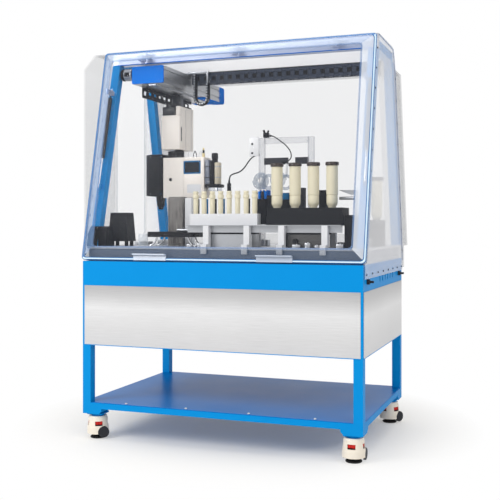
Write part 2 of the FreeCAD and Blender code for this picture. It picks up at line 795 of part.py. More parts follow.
def rear_bay():
    """Clear bay behind the cut-out for the arm's tail, and the clear box for cables under it."""
    z1 = ROOF_TOP - REAR_BAY_TOP
    z0 = BAND_TOP + REAR_BAY_BOTTOM
    x = REAR_BAY_HALF
    far = REAR_BAY_DEPTH

    def profile(wall):
        out = far - wall
        near = -40 if wall else 0
        return [
            (back_y(0, z0 + wall) + near, z0 + wall),
            (back_y(0, z0 + wall) + out, z0 + wall),
            (back_y(0, z1 - wall) + out, z1 - wall),
            (back_y(0, z1 - wall) + near, z1 - wall),
        ]

    shell = prism_x(profile(0), -x, x).cut(prism_x(profile(PANE), -x + PANE, x - PANE))
    y1 = HALF_D + CABLE_BOX_DEPTH
    low = BAND_TOP - CABLE_BOX_DROP
    lid = box(-x + 8, x - 8, HALF_D, y1, low, z0)
    room = box(-x + 8 + PANE, x - 8 - PANE, HALF_D + PANE, y1 - PANE, low - 1, z0 - PANE)
    save("rear_bay", shell, lid.cut(room))


def fascia():
    x = HALF_W - TUBE
    z = ROOF_TOP - FASCIA_DROP
    y = back(FASCIA_IN)
    save("fascia", box(-x, x, y, y + FASCIA_THICK, z - FASCIA_HEIGHT, z))


def gantry_rail():
    """Aluminium beam over the door, and the cross beam behind it with two guide rails under it."""
    x = HALF_W - TUBE
    y = back(GANTRY_IN)
    top = GANTRY_BOTTOM + GANTRY_HEIGHT
    beam = box(-x, x, y, y + GANTRY_DEPTH, GANTRY_BOTTOM, top)
    for z in (GANTRY_BOTTOM + 12, GANTRY_BOTTOM + 30):
        beam = beam.cut(box(-x - 1, x + 1, y - 1, y + 5, z, z + 8))
    bridge = box(-x, x, back(FASCIA_IN) + FASCIA_THICK, y, GANTRY_BOTTOM, GANTRY_BOTTOM + 6)
    rails = [
        box(-x + 6, x - 6, start, start + RAIL_WIDTH, RAIL_BOTTOM, GANTRY_BOTTOM)
        for start in (y + 4, y + GANTRY_DEPTH - RAIL_WIDTH - 4)
    ]
    y = back(FRONT_BEAM_IN)
    front = tube(-HALF_W, HALF_W, y, y + TUBE, ROOF_TOP - ROOF_RAIL_BOTTOM, ROOF_TOP - PANE, "x")
    save("gantry_rail", beam.fuse(bridge).removeSplitter(), *rails, front)


def chain(start, length, across, width, low, height, axis):
    """A cable chain: a flat strip with one window through each link; axis is "x" or "y"."""
    count = int(length // CHAIN_LINK)
    if axis == "x":
        bar = box(start, start + length, across, across + width, low, low + height)
    else:
        bar = box(across, across + width, start, start + length, low, low + height)
    holes = []
    for i in range(count):
        a = start + i * CHAIN_LINK + CHAIN_GAP / 2
        b = a + CHAIN_LINK - CHAIN_GAP
        z0 = low + CHAIN_GAP
        z1 = low + height - CHAIN_GAP
        if axis == "x":
            holes.append(box(a, b, across - 1, across + width + 1, z0, z1))
        else:
            holes.append(box(across - 1, across + width + 1, a, b, z0, z1))
    return bar.cut(Part.makeCompound(holes))


def x_chain():
    start = ARM_X + ARM_WIDTH / 2 + 10
    top = RAIL_BOTTOM - SEAT
    end = HALF_W - TUBE - 10
    y = back(GANTRY_IN) - 4
    links = chain(start, end - start, y, CHAIN_DEPTH, top - CHAIN_HEIGHT, CHAIN_HEIGHT, "x")
    save("x_chain", links)


def hood_door():
    """Clear leaning door: pane, side flanges, bottom lip, with its corners rounded."""
    x = DOOR_OUT
    low = DOOR_BOTTOM_GAP

    def slab(up0, up1, in0, in1, x0, x1):
        return prism_x(
            [door_point(up0, in0), door_point(up1, in0), door_point(up1, in1), door_point(up0, in1)], x0, x1
        )

    shell = slab(low, DOOR_TOP, 0, DOOR_FLANGE, -x, x)
    room = slab(low + PANE, DOOR_TOP + 1, PANE, DOOR_FLANGE + 1, -x + PANE - 1, x - PANE + 1)
    notch = slab(DOOR_FLANGE_END, DOOR_TOP + 1, PANE, DOOR_FLANGE + 1, -x - 1, x + 1)
    trim = slab(low - 1, low + PANE + 1, DOOR_LIP, DOOR_FLANGE + 1, -x + PANE - 1, x - PANE + 1)
    shell = shell.cut(room).cut(notch).cut(trim)
    for x0, x1 in ((HALF_W - 2, x - PANE + 1), (PANE - 1 - x, 2 - HALF_W)):
        shell = shell.cut(slab(low - 1, low + PANE + 1, PANE, DOOR_FLANGE + 1, x0, x1))
    y_low, z_low = door_point(low, 0)

    def lower_corner(edge):
        mid = edge.BoundBox
        flat_x = mid.XLength < 0.01 and abs(abs(mid.XMax) - x) < 0.01
        return flat_x and mid.ZMax < z_low + 0.01 and mid.YLength > DOOR_FLANGE - 3

    shell = rounded(shell, PANE - 1.2, lower_corner)
    save("hood_door", shell)
    tabs = []
    for middle in HANDLE_X:
        x0 = middle - HANDLE_WIDTH / 2
        x1 = middle + HANDLE_WIDTH / 2
        plate = slab(low, low + HANDLE_HEIGHT, -HANDLE_THICK, 0, x0, x1)
        ledge = slab(low + HANDLE_HEIGHT - HANDLE_THICK, low + HANDLE_HEIGHT, -HANDLE_REACH, 0, x0, x1)
        tabs.append(plate.fuse(ledge).removeSplitter())
    y, z = hinge_y_z()
    halves = []
    for middle in HINGE_X:
        half = HINGE_SEGMENT / 2 - SEAT
        sleeve = rod(middle - half, y, z, HINGE_KNUCKLE_RADIUS, 2 * half, (1, 0, 0))
        arm = slab(HINGE_UP - 3, HINGE_UP + 3, PANE, HINGE_BEHIND, middle - half, middle + half)
        leaf = slab(DOOR_FLANGE_END - 8, HINGE_UP + 3, PANE, PANE + 3, middle - half, middle + half)
        bore = rod(middle - half - 1, y, z, HINGE_PIN_RADIUS + RUNNING, 2 * half + 2, (1, 0, 0))
        halves.append(sleeve.fuse(arm).fuse(leaf).cut(bore).removeSplitter())
    save("hood_fittings", *tabs, *halves, *spring_head(1), *spring_head(-1))


def spring_ends():
    """Y and Z of a gas spring's foot pivot and head pivot with the door closed."""
    foot = door_point(SPRING_FOOT_UP, SPRING_BEHIND)
    head = door_point(SPRING_FOOT_UP + SPRING_LENGTH, SPRING_BEHIND)
    return foot, head


def spring_foot(side):
    """Bracket on the front post with the pin that a gas spring's rod eye turns on."""
    (y, z), _ = spring_ends()
    x = SPRING_X - SPRING_EYE_THICK / 2 - SEAT
    pad = prism_x(
        [
            (door_y(SPRING_BEHIND - 7, z - 12), z - 12),
            (door_y(POST_BEHIND_DOOR, z - 12), z - 12),
            (door_y(POST_BEHIND_DOOR, z + 12), z + 12),
            (door_y(SPRING_BEHIND - 7, z + 12), z + 12),
        ],
        x - 5,
        x,
    )
    pin = rod(x, y, z, SPRING_PIN_RADIUS, SPRING_EYE_THICK + SEAT, (1, 0, 0))
    piece = pad.fuse(pin).removeSplitter()
    return [piece if side > 0 else mirrored_x(piece)]


def spring_head(side):
    """Bracket on the door's pane beside a gas spring's head eye, whose stud ends at the eye."""
    _, (y, z) = spring_ends()
    x = SPRING_X - SPRING_TUBE_RADIUS - SEAT
    up = SPRING_FOOT_UP + SPRING_LENGTH
    corners = [(up - 16, PANE), (up + 16, PANE), (up + 7, SPRING_BEHIND + 6), (up - 7, SPRING_BEHIND + 6)]
    lug = prism_x([door_point(*c) for c in corners], x - 6, x)
    return [lug if side > 0 else mirrored_x(lug)]


def gas_springs():
    """Each spring has its rod down, turning on the post's pin, and its cylinder up to the door's lug."""
    (y0, z0), (y1, z1) = spring_ends()
    along = Vector(0, y1 - y0, z1 - z0).normalize()
    foot = Vector(SPRING_X, y0, z0)
    head = Vector(SPRING_X, y1, z1)
    half = Vector(SPRING_EYE_THICK / 2, 0, 0)
    x_axis = Vector(1, 0, 0)
    eye = Part.makeCylinder(SPRING_EYE_RADIUS, SPRING_EYE_THICK, foot - half, x_axis)
    rod_top = SPRING_LENGTH - SPRING_NECK - 12
    neck = foot + along * (SPRING_EYE_RADIUS - 2)
    shaft = Part.makeCylinder(SPRING_ROD_RADIUS, rod_top - SPRING_EYE_RADIUS + 2, neck, along)
    bore = Part.makeCylinder(
        SPRING_PIN_RADIUS + RUNNING, SPRING_EYE_THICK + 2, foot - half - x_axis, x_axis
    )
    rod_piece = eye.fuse(shaft).cut(bore).removeSplitter()
    tube_low = SPRING_LENGTH - SPRING_NECK - SPRING_TUBE_LENGTH
    tube_foot = foot + along * tube_low
    barrel = Part.makeCylinder(SPRING_TUBE_RADIUS, SPRING_TUBE_LENGTH, tube_foot, along)
    stub = Part.makeCylinder(SPRING_ROD_RADIUS, SPRING_NECK, head - along * (SPRING_NECK + 1), along)
    end = Part.makeCylinder(SPRING_EYE_RADIUS, SPRING_EYE_THICK, head - half, x_axis)
    start = head - x_axis * SPRING_TUBE_RADIUS
    stud = Part.makeCylinder(SPRING_STUD_RADIUS, SPRING_TUBE_RADIUS, start, x_axis)
    hollow = Part.makeCylinder(SPRING_ROD_RADIUS + RUNNING, rod_top - tube_low + 1, tube_foot, along)
    barrel = barrel.cut(hollow).fuse(stub).fuse(end).fuse(stud).removeSplitter()
    save("right_spring_rod", rod_piece)
    save("right_spring_tube", barrel)
    save("left_spring_rod", mirrored_x(rod_piece))
    save("left_spring_tube", mirrored_x(barrel))


def x_carriage():
    """Carriage under the gantry, grooved for its two guide rails."""
    x0 = ARM_X - CARRIAGE_WIDTH / 2
    x1 = ARM_X + CARRIAGE_WIDTH / 2
    top = ARM_TOP + CARRIAGE_HEIGHT
    block = box(x0, x1, back(CARRIAGE_FRONT_IN), back(CARRIAGE_REAR_IN), ARM_TOP, top)
    y = back(GANTRY_IN)
    for start in (y + 4, y + GANTRY_DEPTH - RAIL_WIDTH - 4):
        z = RAIL_BOTTOM - SEAT
        block = block.cut(box(x0 - 1, x1 + 1, start - SEAT, start + RAIL_WIDTH + SEAT, z, z + 40))
    save("x_carriage", block)


def arm():
    """The arm: grooved beam with blue end caps, its guide rail, motor and cable chain."""
    x0 = ARM_X - ARM_WIDTH / 2
    x1 = ARM_X + ARM_WIDTH / 2
    y0 = back(ARM_FRONT_IN)
    y1 = y0 + ARM_LENGTH
    beam = box(x0, x1, y0, y1, ARM_BOTTOM, ARM_TOP)
    for z in (ARM_BOTTOM + 18, ARM_BOTTOM + 56):
        for x in (x0 - 1, x1 - 5):
            beam = beam.cut(box(x, x + 6, y0 - 1, y1 + 1, z, z + ARM_GROOVE))
    half = ARM_RAIL_WIDTH / 2
    low = ARM_BOTTOM - ARM_GROOVE
    rail = box(HEAD_X - half, HEAD_X + half, y0 + ARM_RAIL_START, y1 - ARM_RAIL_SHORT, low, ARM_BOTTOM)
    save("y_arm", beam, rail)
    caps = []
    for y in (y0 - ARM_CAP, y1):
        cap = box(x0, x1, y, y + ARM_CAP, ARM_BOTTOM, ARM_TOP)
        caps.append(rounded(cap, 6, along_y))
    save("arm_caps", *caps)
    z = ARM_TOP - MOTOR_RADIUS
    x = x0 - MOTOR_LENGTH
    motor = rod(x, back(MOTOR_IN), z, MOTOR_RADIUS, MOTOR_LENGTH, (1, 0, 0))
    save("arm_motor", rounded(motor, 5, lambda e: e.BoundBox.XMax < x + 1))
    start = back(ARM_CHAIN_IN)
    top = ARM_BOTTOM - SEAT
    height = ARM_CHAIN_HEIGHT
    links = chain(start, ARM_CHAIN_LENGTH, x0, ARM_CHAIN_WIDTH, top - height, height, "y")
    save("y_chain", links)


def z_head():
    """Lifting head: its slide on the arm's rail, its motor, and the housing bored for the ram."""
    x0 = HEAD_X - HEAD_WIDTH / 2
    x1 = HEAD_X + HEAD_WIDTH / 2
    y0 = back(HEAD_FRONT_IN)
    y1 = y0 + HEAD_DEPTH
    housing = box(x0, x1, y0, y1, HEAD_BOTTOM, HEAD_TOP)
    ram_y = y0 + RAM_SETBACK
    bore_top = BOX_TOP + RAM_LENGTH + 2
    hole = box(
        HEAD_X - RAM_WIDTH / 2 - SEAT,
        HEAD_X + RAM_WIDTH / 2 + SEAT,
        ram_y - SEAT,
        ram_y + RAM_DEPTH + SEAT,
        HEAD_BOTTOM - 1,
        bore_top,
    )
    slot = box(x1 - 3, x1 + 1, y0 + 15, y0 + 27, HEAD_BOTTOM + 51, HEAD_BOTTOM + 123)
    housing = rounded(housing, 6, upright).cut(hole).cut(slot)
    slide_top = ARM_BOTTOM - SEAT
    slide = box(x0, x1, y0 + HEAD_MOTOR_DEPTH + 1, y1, HEAD_TOP, slide_top)
    groove = box(
        HEAD_X - ARM_RAIL_WIDTH / 2 - SEAT,
        HEAD_X + ARM_RAIL_WIDTH / 2 + SEAT,
        y0,
        y1 + 1,
        ARM_BOTTOM - ARM_GROOVE - SEAT,
        ARM_BOTTOM + 1,
    )
    half = HEAD_MOTOR_WIDTH / 2
    motor_top = ARM_BOTTOM - ARM_GROOVE - 2
    motor = box(HEAD_X - half, HEAD_X + half, y0, y0 + HEAD_MOTOR_DEPTH, HEAD_TOP, motor_top)
    save("z_head", housing, slide.cut(groove), rounded(motor, 5, upright))
    middle = y0 + RAM_SETBACK + RAM_DEPTH / 2
    wire = COIL_CABLE_WIRE
    radius = math.hypot(RAM_WIDTH, RAM_DEPTH) / 2 + wire + 1
    count = int((RAM_DROP - 2 * SEAT) // (2 * wire))
    coils = [
        ring_of_flats(radius, wire - 0.1, HEAD_X, middle, BOX_TOP + SEAT + wire * (2 * i + 1))
        for i in range(count)
    ]
    save("coil_cable", *coils)


def ring_of_flats(radius, wire, x, y, z):
    """One turn of cable about the vertical, its round drawn with COIL_SIDES flats."""
    step = 2 * math.pi / COIL_SIDES
    flats = [(radius + wire * math.cos(i * step), wire * math.sin(i * step)) for i in range(COIL_SIDES)]
    return turned(flats, x, y, z)


def ram_and_box():
    """What the ram lowers: display box, push button, dispenser and gripper."""
    y0 = back(HEAD_FRONT_IN)
    ram_y = y0 + RAM_SETBACK
    half = RAM_WIDTH / 2
    top = BOX_TOP + RAM_LENGTH
    save("z_ram", box(HEAD_X - half, HEAD_X + half, ram_y, ram_y + RAM_DEPTH, BOX_TOP, top))
    x0 = HEAD_X + BOX_LEFT
    x1 = x0 + BOX_WIDTH
    y1 = y0 + BOX_DEPTH
    z0 = BOX_TOP - BOX_HEIGHT
    case = rounded(box(x0, x1, y0, y1, z0, BOX_TOP), 3, along_y)
    right = x1 - SCREEN_RIGHT_GAP
    top = BOX_TOP - SCREEN_TOP_GAP
    low = top - SCREEN_HEIGHT
    case = case.cut(box(right - SCREEN_WIDTH, right, y0 - 1, y0 + SCREEN_RECESS, low, top))
    x = x0 + BUTTON_X
    z = z0 + BUTTON_Z
    well = rod(x, y0 - 1, z, BUTTON_RADIUS + BUTTON_PLAY, BUTTON_WELL + 1, (0, 1, 0))
    fitting = rod(x1 - 13, y0 + 25, BOX_TOP, 7, 20).fuse(rod(x1 - 13, y0 + 25, BOX_TOP + 20, 4.5, 43))
    save("display_box", case.cut(well), fitting.removeSplitter())
    length = BUTTON_WELL + BUTTON_PROUD - BUTTON_TRAVEL - SEAT
    button = rod(x, y0 - BUTTON_PROUD, z, BUTTON_RADIUS, length, (0, 1, 0))
    save("push_button", rounded(button, 1, lambda e: e.BoundBox.YMax < y0))
    left = x0 - DISPENSER_GAP - DISPENSER_WIDTH
    low = BOX_TOP + DISPENSER_RISE - DISPENSER_HEIGHT
    body = box(left, x0 - DISPENSER_GAP, y0, y0 + DISPENSER_DEPTH, low, BOX_TOP + DISPENSER_RISE)
    spacer = box(x0 - DISPENSER_GAP, x0, y0 + 12, y0 + DISPENSER_DEPTH - 12, z0 + 30, BOX_TOP - 24)
    body = rounded(body, 5, lambda e: upright(e) and e.BoundBox.XMax < left + 1)
    middle = left + DISPENSER_WIDTH - NOZZLE_RADIUS - 6
    r = NOZZLE_RADIUS
    h = NOZZLE_LENGTH
    outline = [(0, 0), (r - 9, 0), (r - 9, 14), (r - 3, 20), (r - 3, 44), (r, 44), (r, h), (0, h)]
    tip = turned(outline, middle, y0 + DISPENSER_DEPTH / 2, low - h)
    save("dispenser", body, tip, spacer)
    gripper(x1, y0 + GRIPPER_RADIUS, z0)


def gripper(face_x, y, z0):
    """Gripper: puck, plate, ribbed motor barrel and top knob, on a bracket beside the display box."""
    r = GRIPPER_RADIUS
    x = face_x + r + 1
    plate = rounded(box(face_x + 1, x + r, y - r, y + r, z0 + 50, z0 + 66), 8, upright)
    puck = turned([(0, 32), (r - 1, 32), (r, 34), (r, 48), (r - 2, 50), (0, 50)], x, y, z0)
    above = turned(
        [(0, 66), (r - 2, 66), (r, 70), (r, 104), (r - 1.5, 106), (r, 108), (r, 134), (r - 4, 140),
         (r - 4, 152), (15, 152), (15, 188), (12, 191), (0, 191)],
        x, y, z0,
    )
    bracket = box(face_x, x - r + 14, y - 12, y + 12, z0 + 78, z0 + 98).cut(above)
    save("gripper", puck, plate, above, bracket)


def rack_supports():
    """White posts that carry the rack shelf, the front ones hooked over the deck's edge."""
    posts = []
    front = back(POST_FRONT_IN)
    edge = back(DECK_FRONT_IN)
    half = POST_SIDE / 2
    low = RACK_FLOOR - RACK_SHELF_THICK
    rear = front + RACK_SHELF_DEPTH - POST_SIDE - POST_REAR_SETBACK
    top = DECK_TOP + HOOK_HEIGHT
    for x in POST_X:
        post = box(x - half, x + half, front, front + POST_SIDE, DECK_TOP, low)
        hook = box(x - half, x + half, edge - HOOK_THICK, front, DECK_TOP, top)
        toe = box(x - half, x + half, edge - HOOK_THICK, edge - SEAT, DECK_TOP - HOOK_DROP, top)
        posts.append(post.fuse(hook).fuse(toe).removeSplitter())
        posts.append(box(x - half, x + half, rear, rear + POST_SIDE, DECK_TOP, low))
    x0 = COLUMN_X + COLUMN_WIDTH / 2 + SEAT
    y0 = back(COLUMN_IN) + (COLUMN_DEPTH - WHITE_COLUMN) / 2
    column = box(x0, x0 + WHITE_COLUMN, y0, y0 + WHITE_COLUMN, DECK_TOP, DECK_TOP + COLUMN_HEIGHT)
    save("rack_posts", *posts, rounded(column, WHITE_COLUMN_ROUND, upright))


def deck_steelwork():
    """Folded rack shelf, the two steel boxes under it, the stainless column and the tray's bent legs."""
    start = back(POST_FRONT_IN)
    front = start + POST_SIDE + APRON_GAP
    x0 = POST_X[0] - RACK_SHELF_LEFT
    x1 = POST_X[-1] + RACK_SHELF_RIGHT
    t = RACK_SHELF_THICK
    top = box(x0, x1, start, start + RACK_SHELF_DEPTH, RACK_FLOOR - t, RACK_FLOOR)
    apron = box(x0, x1, front, front + t, RACK_FLOOR - RACK_APRON, RACK_FLOOR - t)
    shelf = top.fuse(apron).removeSplitter()
    low_top = RACK_FLOOR - RACK_APRON - STEEL_BOX_GAP
    y0 = front + STEEL_BOX_GAP
    half = POST_SIDE / 2
    spans = (
        (POST_X[0] - half, POST_X[1] + half),
        (POST_X[2] + STEEL_BOX_INSET, POST_X[3] - STEEL_BOX_INSET),
    )
    boxes = [
        rounded(box(low, high, y0, y0 + STEEL_BOX_DEPTH, DECK_TOP, low_top), WHITE_COLUMN_ROUND, upright)
        for low, high in spans
    ]
    half = COLUMN_WIDTH / 2
    y0 = back(COLUMN_IN)
    y1 = y0 + COLUMN_DEPTH
    z = DECK_TOP + COLUMN_HEIGHT
    column = rounded(box(COLUMN_X - half, COLUMN_X + half, y0, y1, DECK_TOP, z), COLUMN_ROUND, upright)
    c = COLUMN_CAP
    cap = box(COLUMN_X - half + c, COLUMN_X + half - c, y0 + c, y1 - c, z, z + c)
    save("deck_steelwork", shelf, *boxes, column.fuse(cap).removeSplitter(), *tray_legs())


def tray_legs():
    """Four round bars that leave the tray flat and bend down to the deck."""
    legs = []
    y0 = back(TRAY_IN) + TRAY_LEG_SPREAD
    y1 = back(TRAY_IN) + TRAY_DEPTH - TRAY_LEG_SPREAD
    right = TRAY_LEFT_X + TRAY_WIDTH - TRAY_LEG_INSET
    for x, turn in ((TRAY_LEFT_X + TRAY_LEG_INSET, -1), (right, 1)):
        for y in (y0, y1):
            top = Vector(x, y, DECK_TOP + TRAY_UNDER)
            bend = TRAY_UNDER - 2 * TRAY_LEG_RADIUS
            knee = top + Vector(turn * bend * 0.3, 0, -bend * 0.7)
            foot = top + Vector(turn * bend, 0, -bend - TRAY_LEG_RADIUS)
            path = Part.Wire([Part.Arc(top, knee, foot).toShape()])
            ring = Part.Wire([Part.makeCircle(TRAY_LEG_RADIUS, top, Vector(0, 0, 1))])
            leg = path.makePipeShell([ring], True, False)
            pad = rod(foot.x, y, DECK_TOP, 2 * TRAY_LEG_RADIUS, TRAY_LEG_RADIUS + 1)
            legs.append(leg.fuse(pad).removeSplitter())
    return legs


def tapered_unit():
    """Tapered device on four feet."""
    x0 = TAPER_X
    x1 = TAPER_X + TAPER_WIDTH
    y0 = back(TAPER_IN)
    y1 = y0 + TAPER_DEPTH
    z0 = DECK_TOP + TAPER_FOOT
    z1 = z0 + TAPER_HEIGHT
    left, right, ends = TAPER_TOP
    low = rectangle(x0, x1, y0, y1, z0)
    high = rectangle(x0 + left, x1 - right, y0 + ends, y1 - ends, z1)
    unit = Part.makeLoft([low, high], True, True)
    feet = [
        rod(x, y, DECK_TOP, TAPER_FOOT_RADIUS, TAPER_FOOT)
        for x in (x0 + TAPER_FOOT_INSET, x1 - TAPER_FOOT_INSET)
        for y in (y0 + TAPER_FOOT_INSET, y1 - TAPER_FOOT_INSET)
    ]
    return [unit, *feet]


def rectangle(x0, x1, y0, y1, z):
    corners = [(x0, y0), (x1, y0), (x1, y1), (x0, y1), (x0, y0)]
    return Part.makePolygon([Vector(x, y, z) for x, y in corners])


def corner_units():
    """The faceted unit that fills the left front corner behind the door, and the box beside it."""
    edge = HALF_W - TUBE
    high = DECK_TOP + CORNER_UNIT_HEIGHT
    bend = high - CORNER_UNIT_SLOPE
    near, far = CORNER_UNIT_BEHIND
    wall = POST_BEHIND_DOOR - SEAT
    outline = [
        (door_y(near, DECK_TOP), DECK_TOP),
        (door_y(wall, DECK_TOP), DECK_TOP),
        (door_y(wall, high), high),
        (door_y(far, high), high),
        (door_y(near, bend), bend),
    ]
    unit = prism_x(outline, 2 * SEAT - HALF_W, -edge)
    y0 = back(CORNER_BOX_IN)
    x1 = CORNER_BOX_WIDTH - edge
    side = box(SEAT - edge, x1, y0, y0 + CORNER_BOX_DEPTH, DECK_TOP, high)
    top = [e for e in side.Edges if along_x(e) and e.BoundBox.ZMin > high - 1 and e.BoundBox.YMax < y0 + 1]
    return [unit, side.makeChamfer(CORNER_BOX_CHAMFER, top)]


def tray():
    """Open tray that lies on its bent legs."""
    x1 = TRAY_LEFT_X + TRAY_WIDTH
    y0 = back(TRAY_IN)
    y1 = y0 + TRAY_DEPTH
    z = DECK_TOP + TRAY_UNDER
    w = TRAY_WALL
    outer = rounded(box(TRAY_LEFT_X, x1, y0, y1, z, z + TRAY_THICK), TRAY_ROUND, upright)
    room = box(TRAY_LEFT_X + w, x1 - w, y0 + w, y1 - w, z + TRAY_FLOOR, z + TRAY_THICK + 1)
    return outer.cut(rounded(room, TRAY_ROUND / 2, upright))


def deck_units():
    """Dark devices on the deck: tapered unit, corner units, tray, knob, tall box, side rack and clip."""
    pieces = tapered_unit() + corner_units() + [tray()]
    front = back(POST_FRONT_IN) + POST_SIDE + APRON_GAP + STEEL_BOX_GAP
    knob_x = HALF_W * KNOB_SHARE
    pieces.append(rod(knob_x, front - KNOB_LENGTH, DECK_TOP + KNOB_UP, KNOB_RADIUS, KNOB_LENGTH, (0, 1, 0)))
    y0 = back(TALL_BOX_IN)
    x0 = TALL_BOX_RIGHT - TALL_BOX_WIDTH
    tall = box(x0, TALL_BOX_RIGHT, y0, y0 + TALL_BOX_DEPTH, DECK_TOP, DECK_TOP + TALL_BOX_HEIGHT)
    pieces.append(rounded(tall, SMALL_ROUND, upright))
    half = SIDE_RACK_SIDE / 2
    x = SIDE_RACK_X
    y = back(SIDE_RACK_IN)
    top = DECK_TOP + SIDE_RACK_HEIGHT
    block = box(x - half, x + half, y - half, y + half, DECK_TOP, top)
    socket = rod(x, y, top - LARGE_SOCKET, LARGE_NECK + SEAT, LARGE_SOCKET + 1)
    pieces.append(rounded(block, SMALL_ROUND, upright).cut(socket))
    clip_x = SMALL_FIRST_X + CLIP_ON * SMALL_PITCH
    pieces.append(rod(clip_x, back(SMALL_IN), RACK_FLOOR + SMALL_HEIGHT, CLIP_RADIUS, CLIP_HEIGHT))
    save("deck_units", *pieces)


def white_rack():
    """White block bored for the small cartridges."""
    x0 = SMALL_FIRST_X - WHITE_RACK_END
    x1 = SMALL_FIRST_X + SMALL_PITCH * (SMALL_COUNT - 1) + WHITE_RACK_END
    y = back(SMALL_IN)
    half = WHITE_RACK_DEPTH / 2
    block = box(x0, x1, y - half, y + half, RACK_FLOOR, RACK_FLOOR + WHITE_RACK_HEIGHT)
    block = rounded(block, SMALL_ROUND, upright)
    for i in range(SMALL_COUNT):
        x = SMALL_FIRST_X + i * SMALL_PITCH
        block = block.cut(rod(x, y, RACK_FLOOR + 8, SMALL_RADIUS - 1.5 + SEAT, WHITE_RACK_HEIGHT))
    save("white_rack", block)


def black_rack():
    """Black stepped block bored for the large cartridges."""
    x0 = LARGE_FIRST_X - BLACK_RACK_LEFT
    x1 = LARGE_FIRST_X + LARGE_PITCH * (LARGE_COUNT - 1) + BLACK_RACK_RIGHT
    y = back(LARGE_IN)
    half = BLACK_RACK_DEPTH / 2
    low = RACK_FLOOR + BLACK_RACK_HEIGHT / 2
    top = RACK_FLOOR + BLACK_RACK_HEIGHT
    e = BLACK_RACK_STEP
    base = box(x0, x1, y - half, y + half, RACK_FLOOR, low)
    upper = box(x0 + e, x1 - e, y - half + e, y + half - e, low, top)
    block = rounded(base, SMALL_ROUND, upright).fuse(rounded(upper, SMALL_ROUND, upright))
    for i in range(LARGE_COUNT):
        x = LARGE_FIRST_X + i * LARGE_PITCH
        block = block.cut(rod(x, y, top - LARGE_SOCKET, LARGE_NECK + SEAT, LARGE_SOCKET + 10))
    save("black_rack", block.removeSplitter())


def large_cartridge(x, y, seat_z):
    """Stepped cartridge with a dark cap; seat_z is the rack's top."""
    r = LARGE_RADIUS
    h = LARGE_HEIGHT
    body = turned(
        [
            (0, -20), (LARGE_NECK, -20), (LARGE_NECK, 0), (r - 3, 12), (r - 3, 44), (r - 1.5, 46),
            (r - 1.5, 49), (r, 50), (r, h - 16), (0, h - 16),
        ],
        x, y, seat_z,
    )
    cap = turned([(0, h - 16), (r + 1.5, h - 16), (r + 1.5, h - 2), (r, h), (0, h)], x, y, seat_z)
    return [body, cap]


def cartridges():
    """Small cartridges in the white rack, large ones in the black rack and the side rack."""
    pieces = []
    r = SMALL_RADIUS
    h = SMALL_HEIGHT
    for i in range(SMALL_COUNT):
        x = SMALL_FIRST_X + i * SMALL_PITCH
        outline = [
            (0, 8), (r - 1.5, 8), (r - 1.5, WHITE_RACK_HEIGHT), (r, WHITE_RACK_HEIGHT), (r, h - 28),
            (r + 1.5, h - 26), (r + 1.5, h - 2), (r, h), (r - 3, h), (r - 3, h - 12), (0, h - 12),
        ]
        pieces.append(turned(outline, x, back(SMALL_IN), RACK_FLOOR))
    for i in range(LARGE_COUNT):
        x = LARGE_FIRST_X + i * LARGE_PITCH
        pieces += large_cartridge(x, back(LARGE_IN), RACK_FLOOR + BLACK_RACK_HEIGHT)
    pieces += large_cartridge(SIDE_RACK_X, back(SIDE_RACK_IN), DECK_TOP + SIDE_RACK_HEIGHT)
    save("cartridges", *pieces)


def beaker():
    r = BEAKER_RADIUS
    h = BEAKER_HEIGHT
    w = BEAKER_WALL
    outline = [(0, 0), (r, 0), (r, h - w), (r + w, h), (r, h), (r - w, h - w), (r - w, w), (0, w)]
    save("beaker", turned(outline, BEAKER_X, back(BEAKER_IN), DECK_TOP))


def stand_frame():
    """Clear stand behind the racks with its dark clamp bars, and the grey rods with their bracket."""
    half = STAND_COLUMN / 2
    top = DECK_TOP + STAND_HEIGHT
    y = back(STAND_IN)
    left = STAND_LEFT_X + half
    right = STAND_RIGHT_X - half
    posts = [
        box(x - half, x + half, y, y + STAND_COLUMN, DECK_TOP, top) for x in (STAND_LEFT_X, STAND_RIGHT_X)
    ]
    y0 = y + (STAND_COLUMN - STAND_BEAM_DEPTH) / 2
    y1 = y0 + STAND_BEAM_DEPTH
    beam = box(left, right, y0, y1, top - STAND_BEAM, top)
    block = box(left, left + STAND_BLOCK, y0, y1, top, top + STAND_BLOCK_HEIGHT)
    z1 = top - CLAMP_BAR_DROP
    z0 = z1 - CLAMP_BAR_HEIGHT
    y1 = y0 + CLAMP_BAR_DEPTH
    bars = [
        box(left, left + LEFT_BAR_LENGTH, y0, y1, z0, z1),
        box(right - RIGHT_BAR_LENGTH, right, y0, y1, z0, z1),
    ]
    z1 = DECK_TOP + VALVE_TOP
    x0 = STAND_LEFT_X
    valves = box(x0, x0 + VALVE_WIDTH, y - VALVE_DEPTH, y, z1 - VALVE_HEIGHT, z1)
    valves = rounded(valves, SMALL_ROUND, upright)
    save("stand_frame", *posts, beam, block, *bars, valves, mast(), lay_rod())


def mast():
    """Round mast on the tall box, with its sloping plate and the bar across it."""
    foot = DECK_TOP + TALL_BOX_HEIGHT
    top = foot + MAST_HEIGHT
    x = MAST_X
    y = back(MAST_IN)
    r = MAST_RADIUS
    low = top - MAST_PLATE_HEIGHT
    plate = [(x - r - MAST_PLATE, top), (x, top), (x, low), (x - MAST_PLATE_FOOT, low)]
    bar = rod(x - MAST_BAR_LENGTH, y, top - MAST_BAR_DROP, MAST_BAR_RADIUS, MAST_BAR_LENGTH, (1, 0, 0))
    shaft = rod(x, y, foot, r, MAST_HEIGHT)
    return shaft.fuse(prism_y(plate, y - r, y + r)).fuse(bar).removeSplitter()


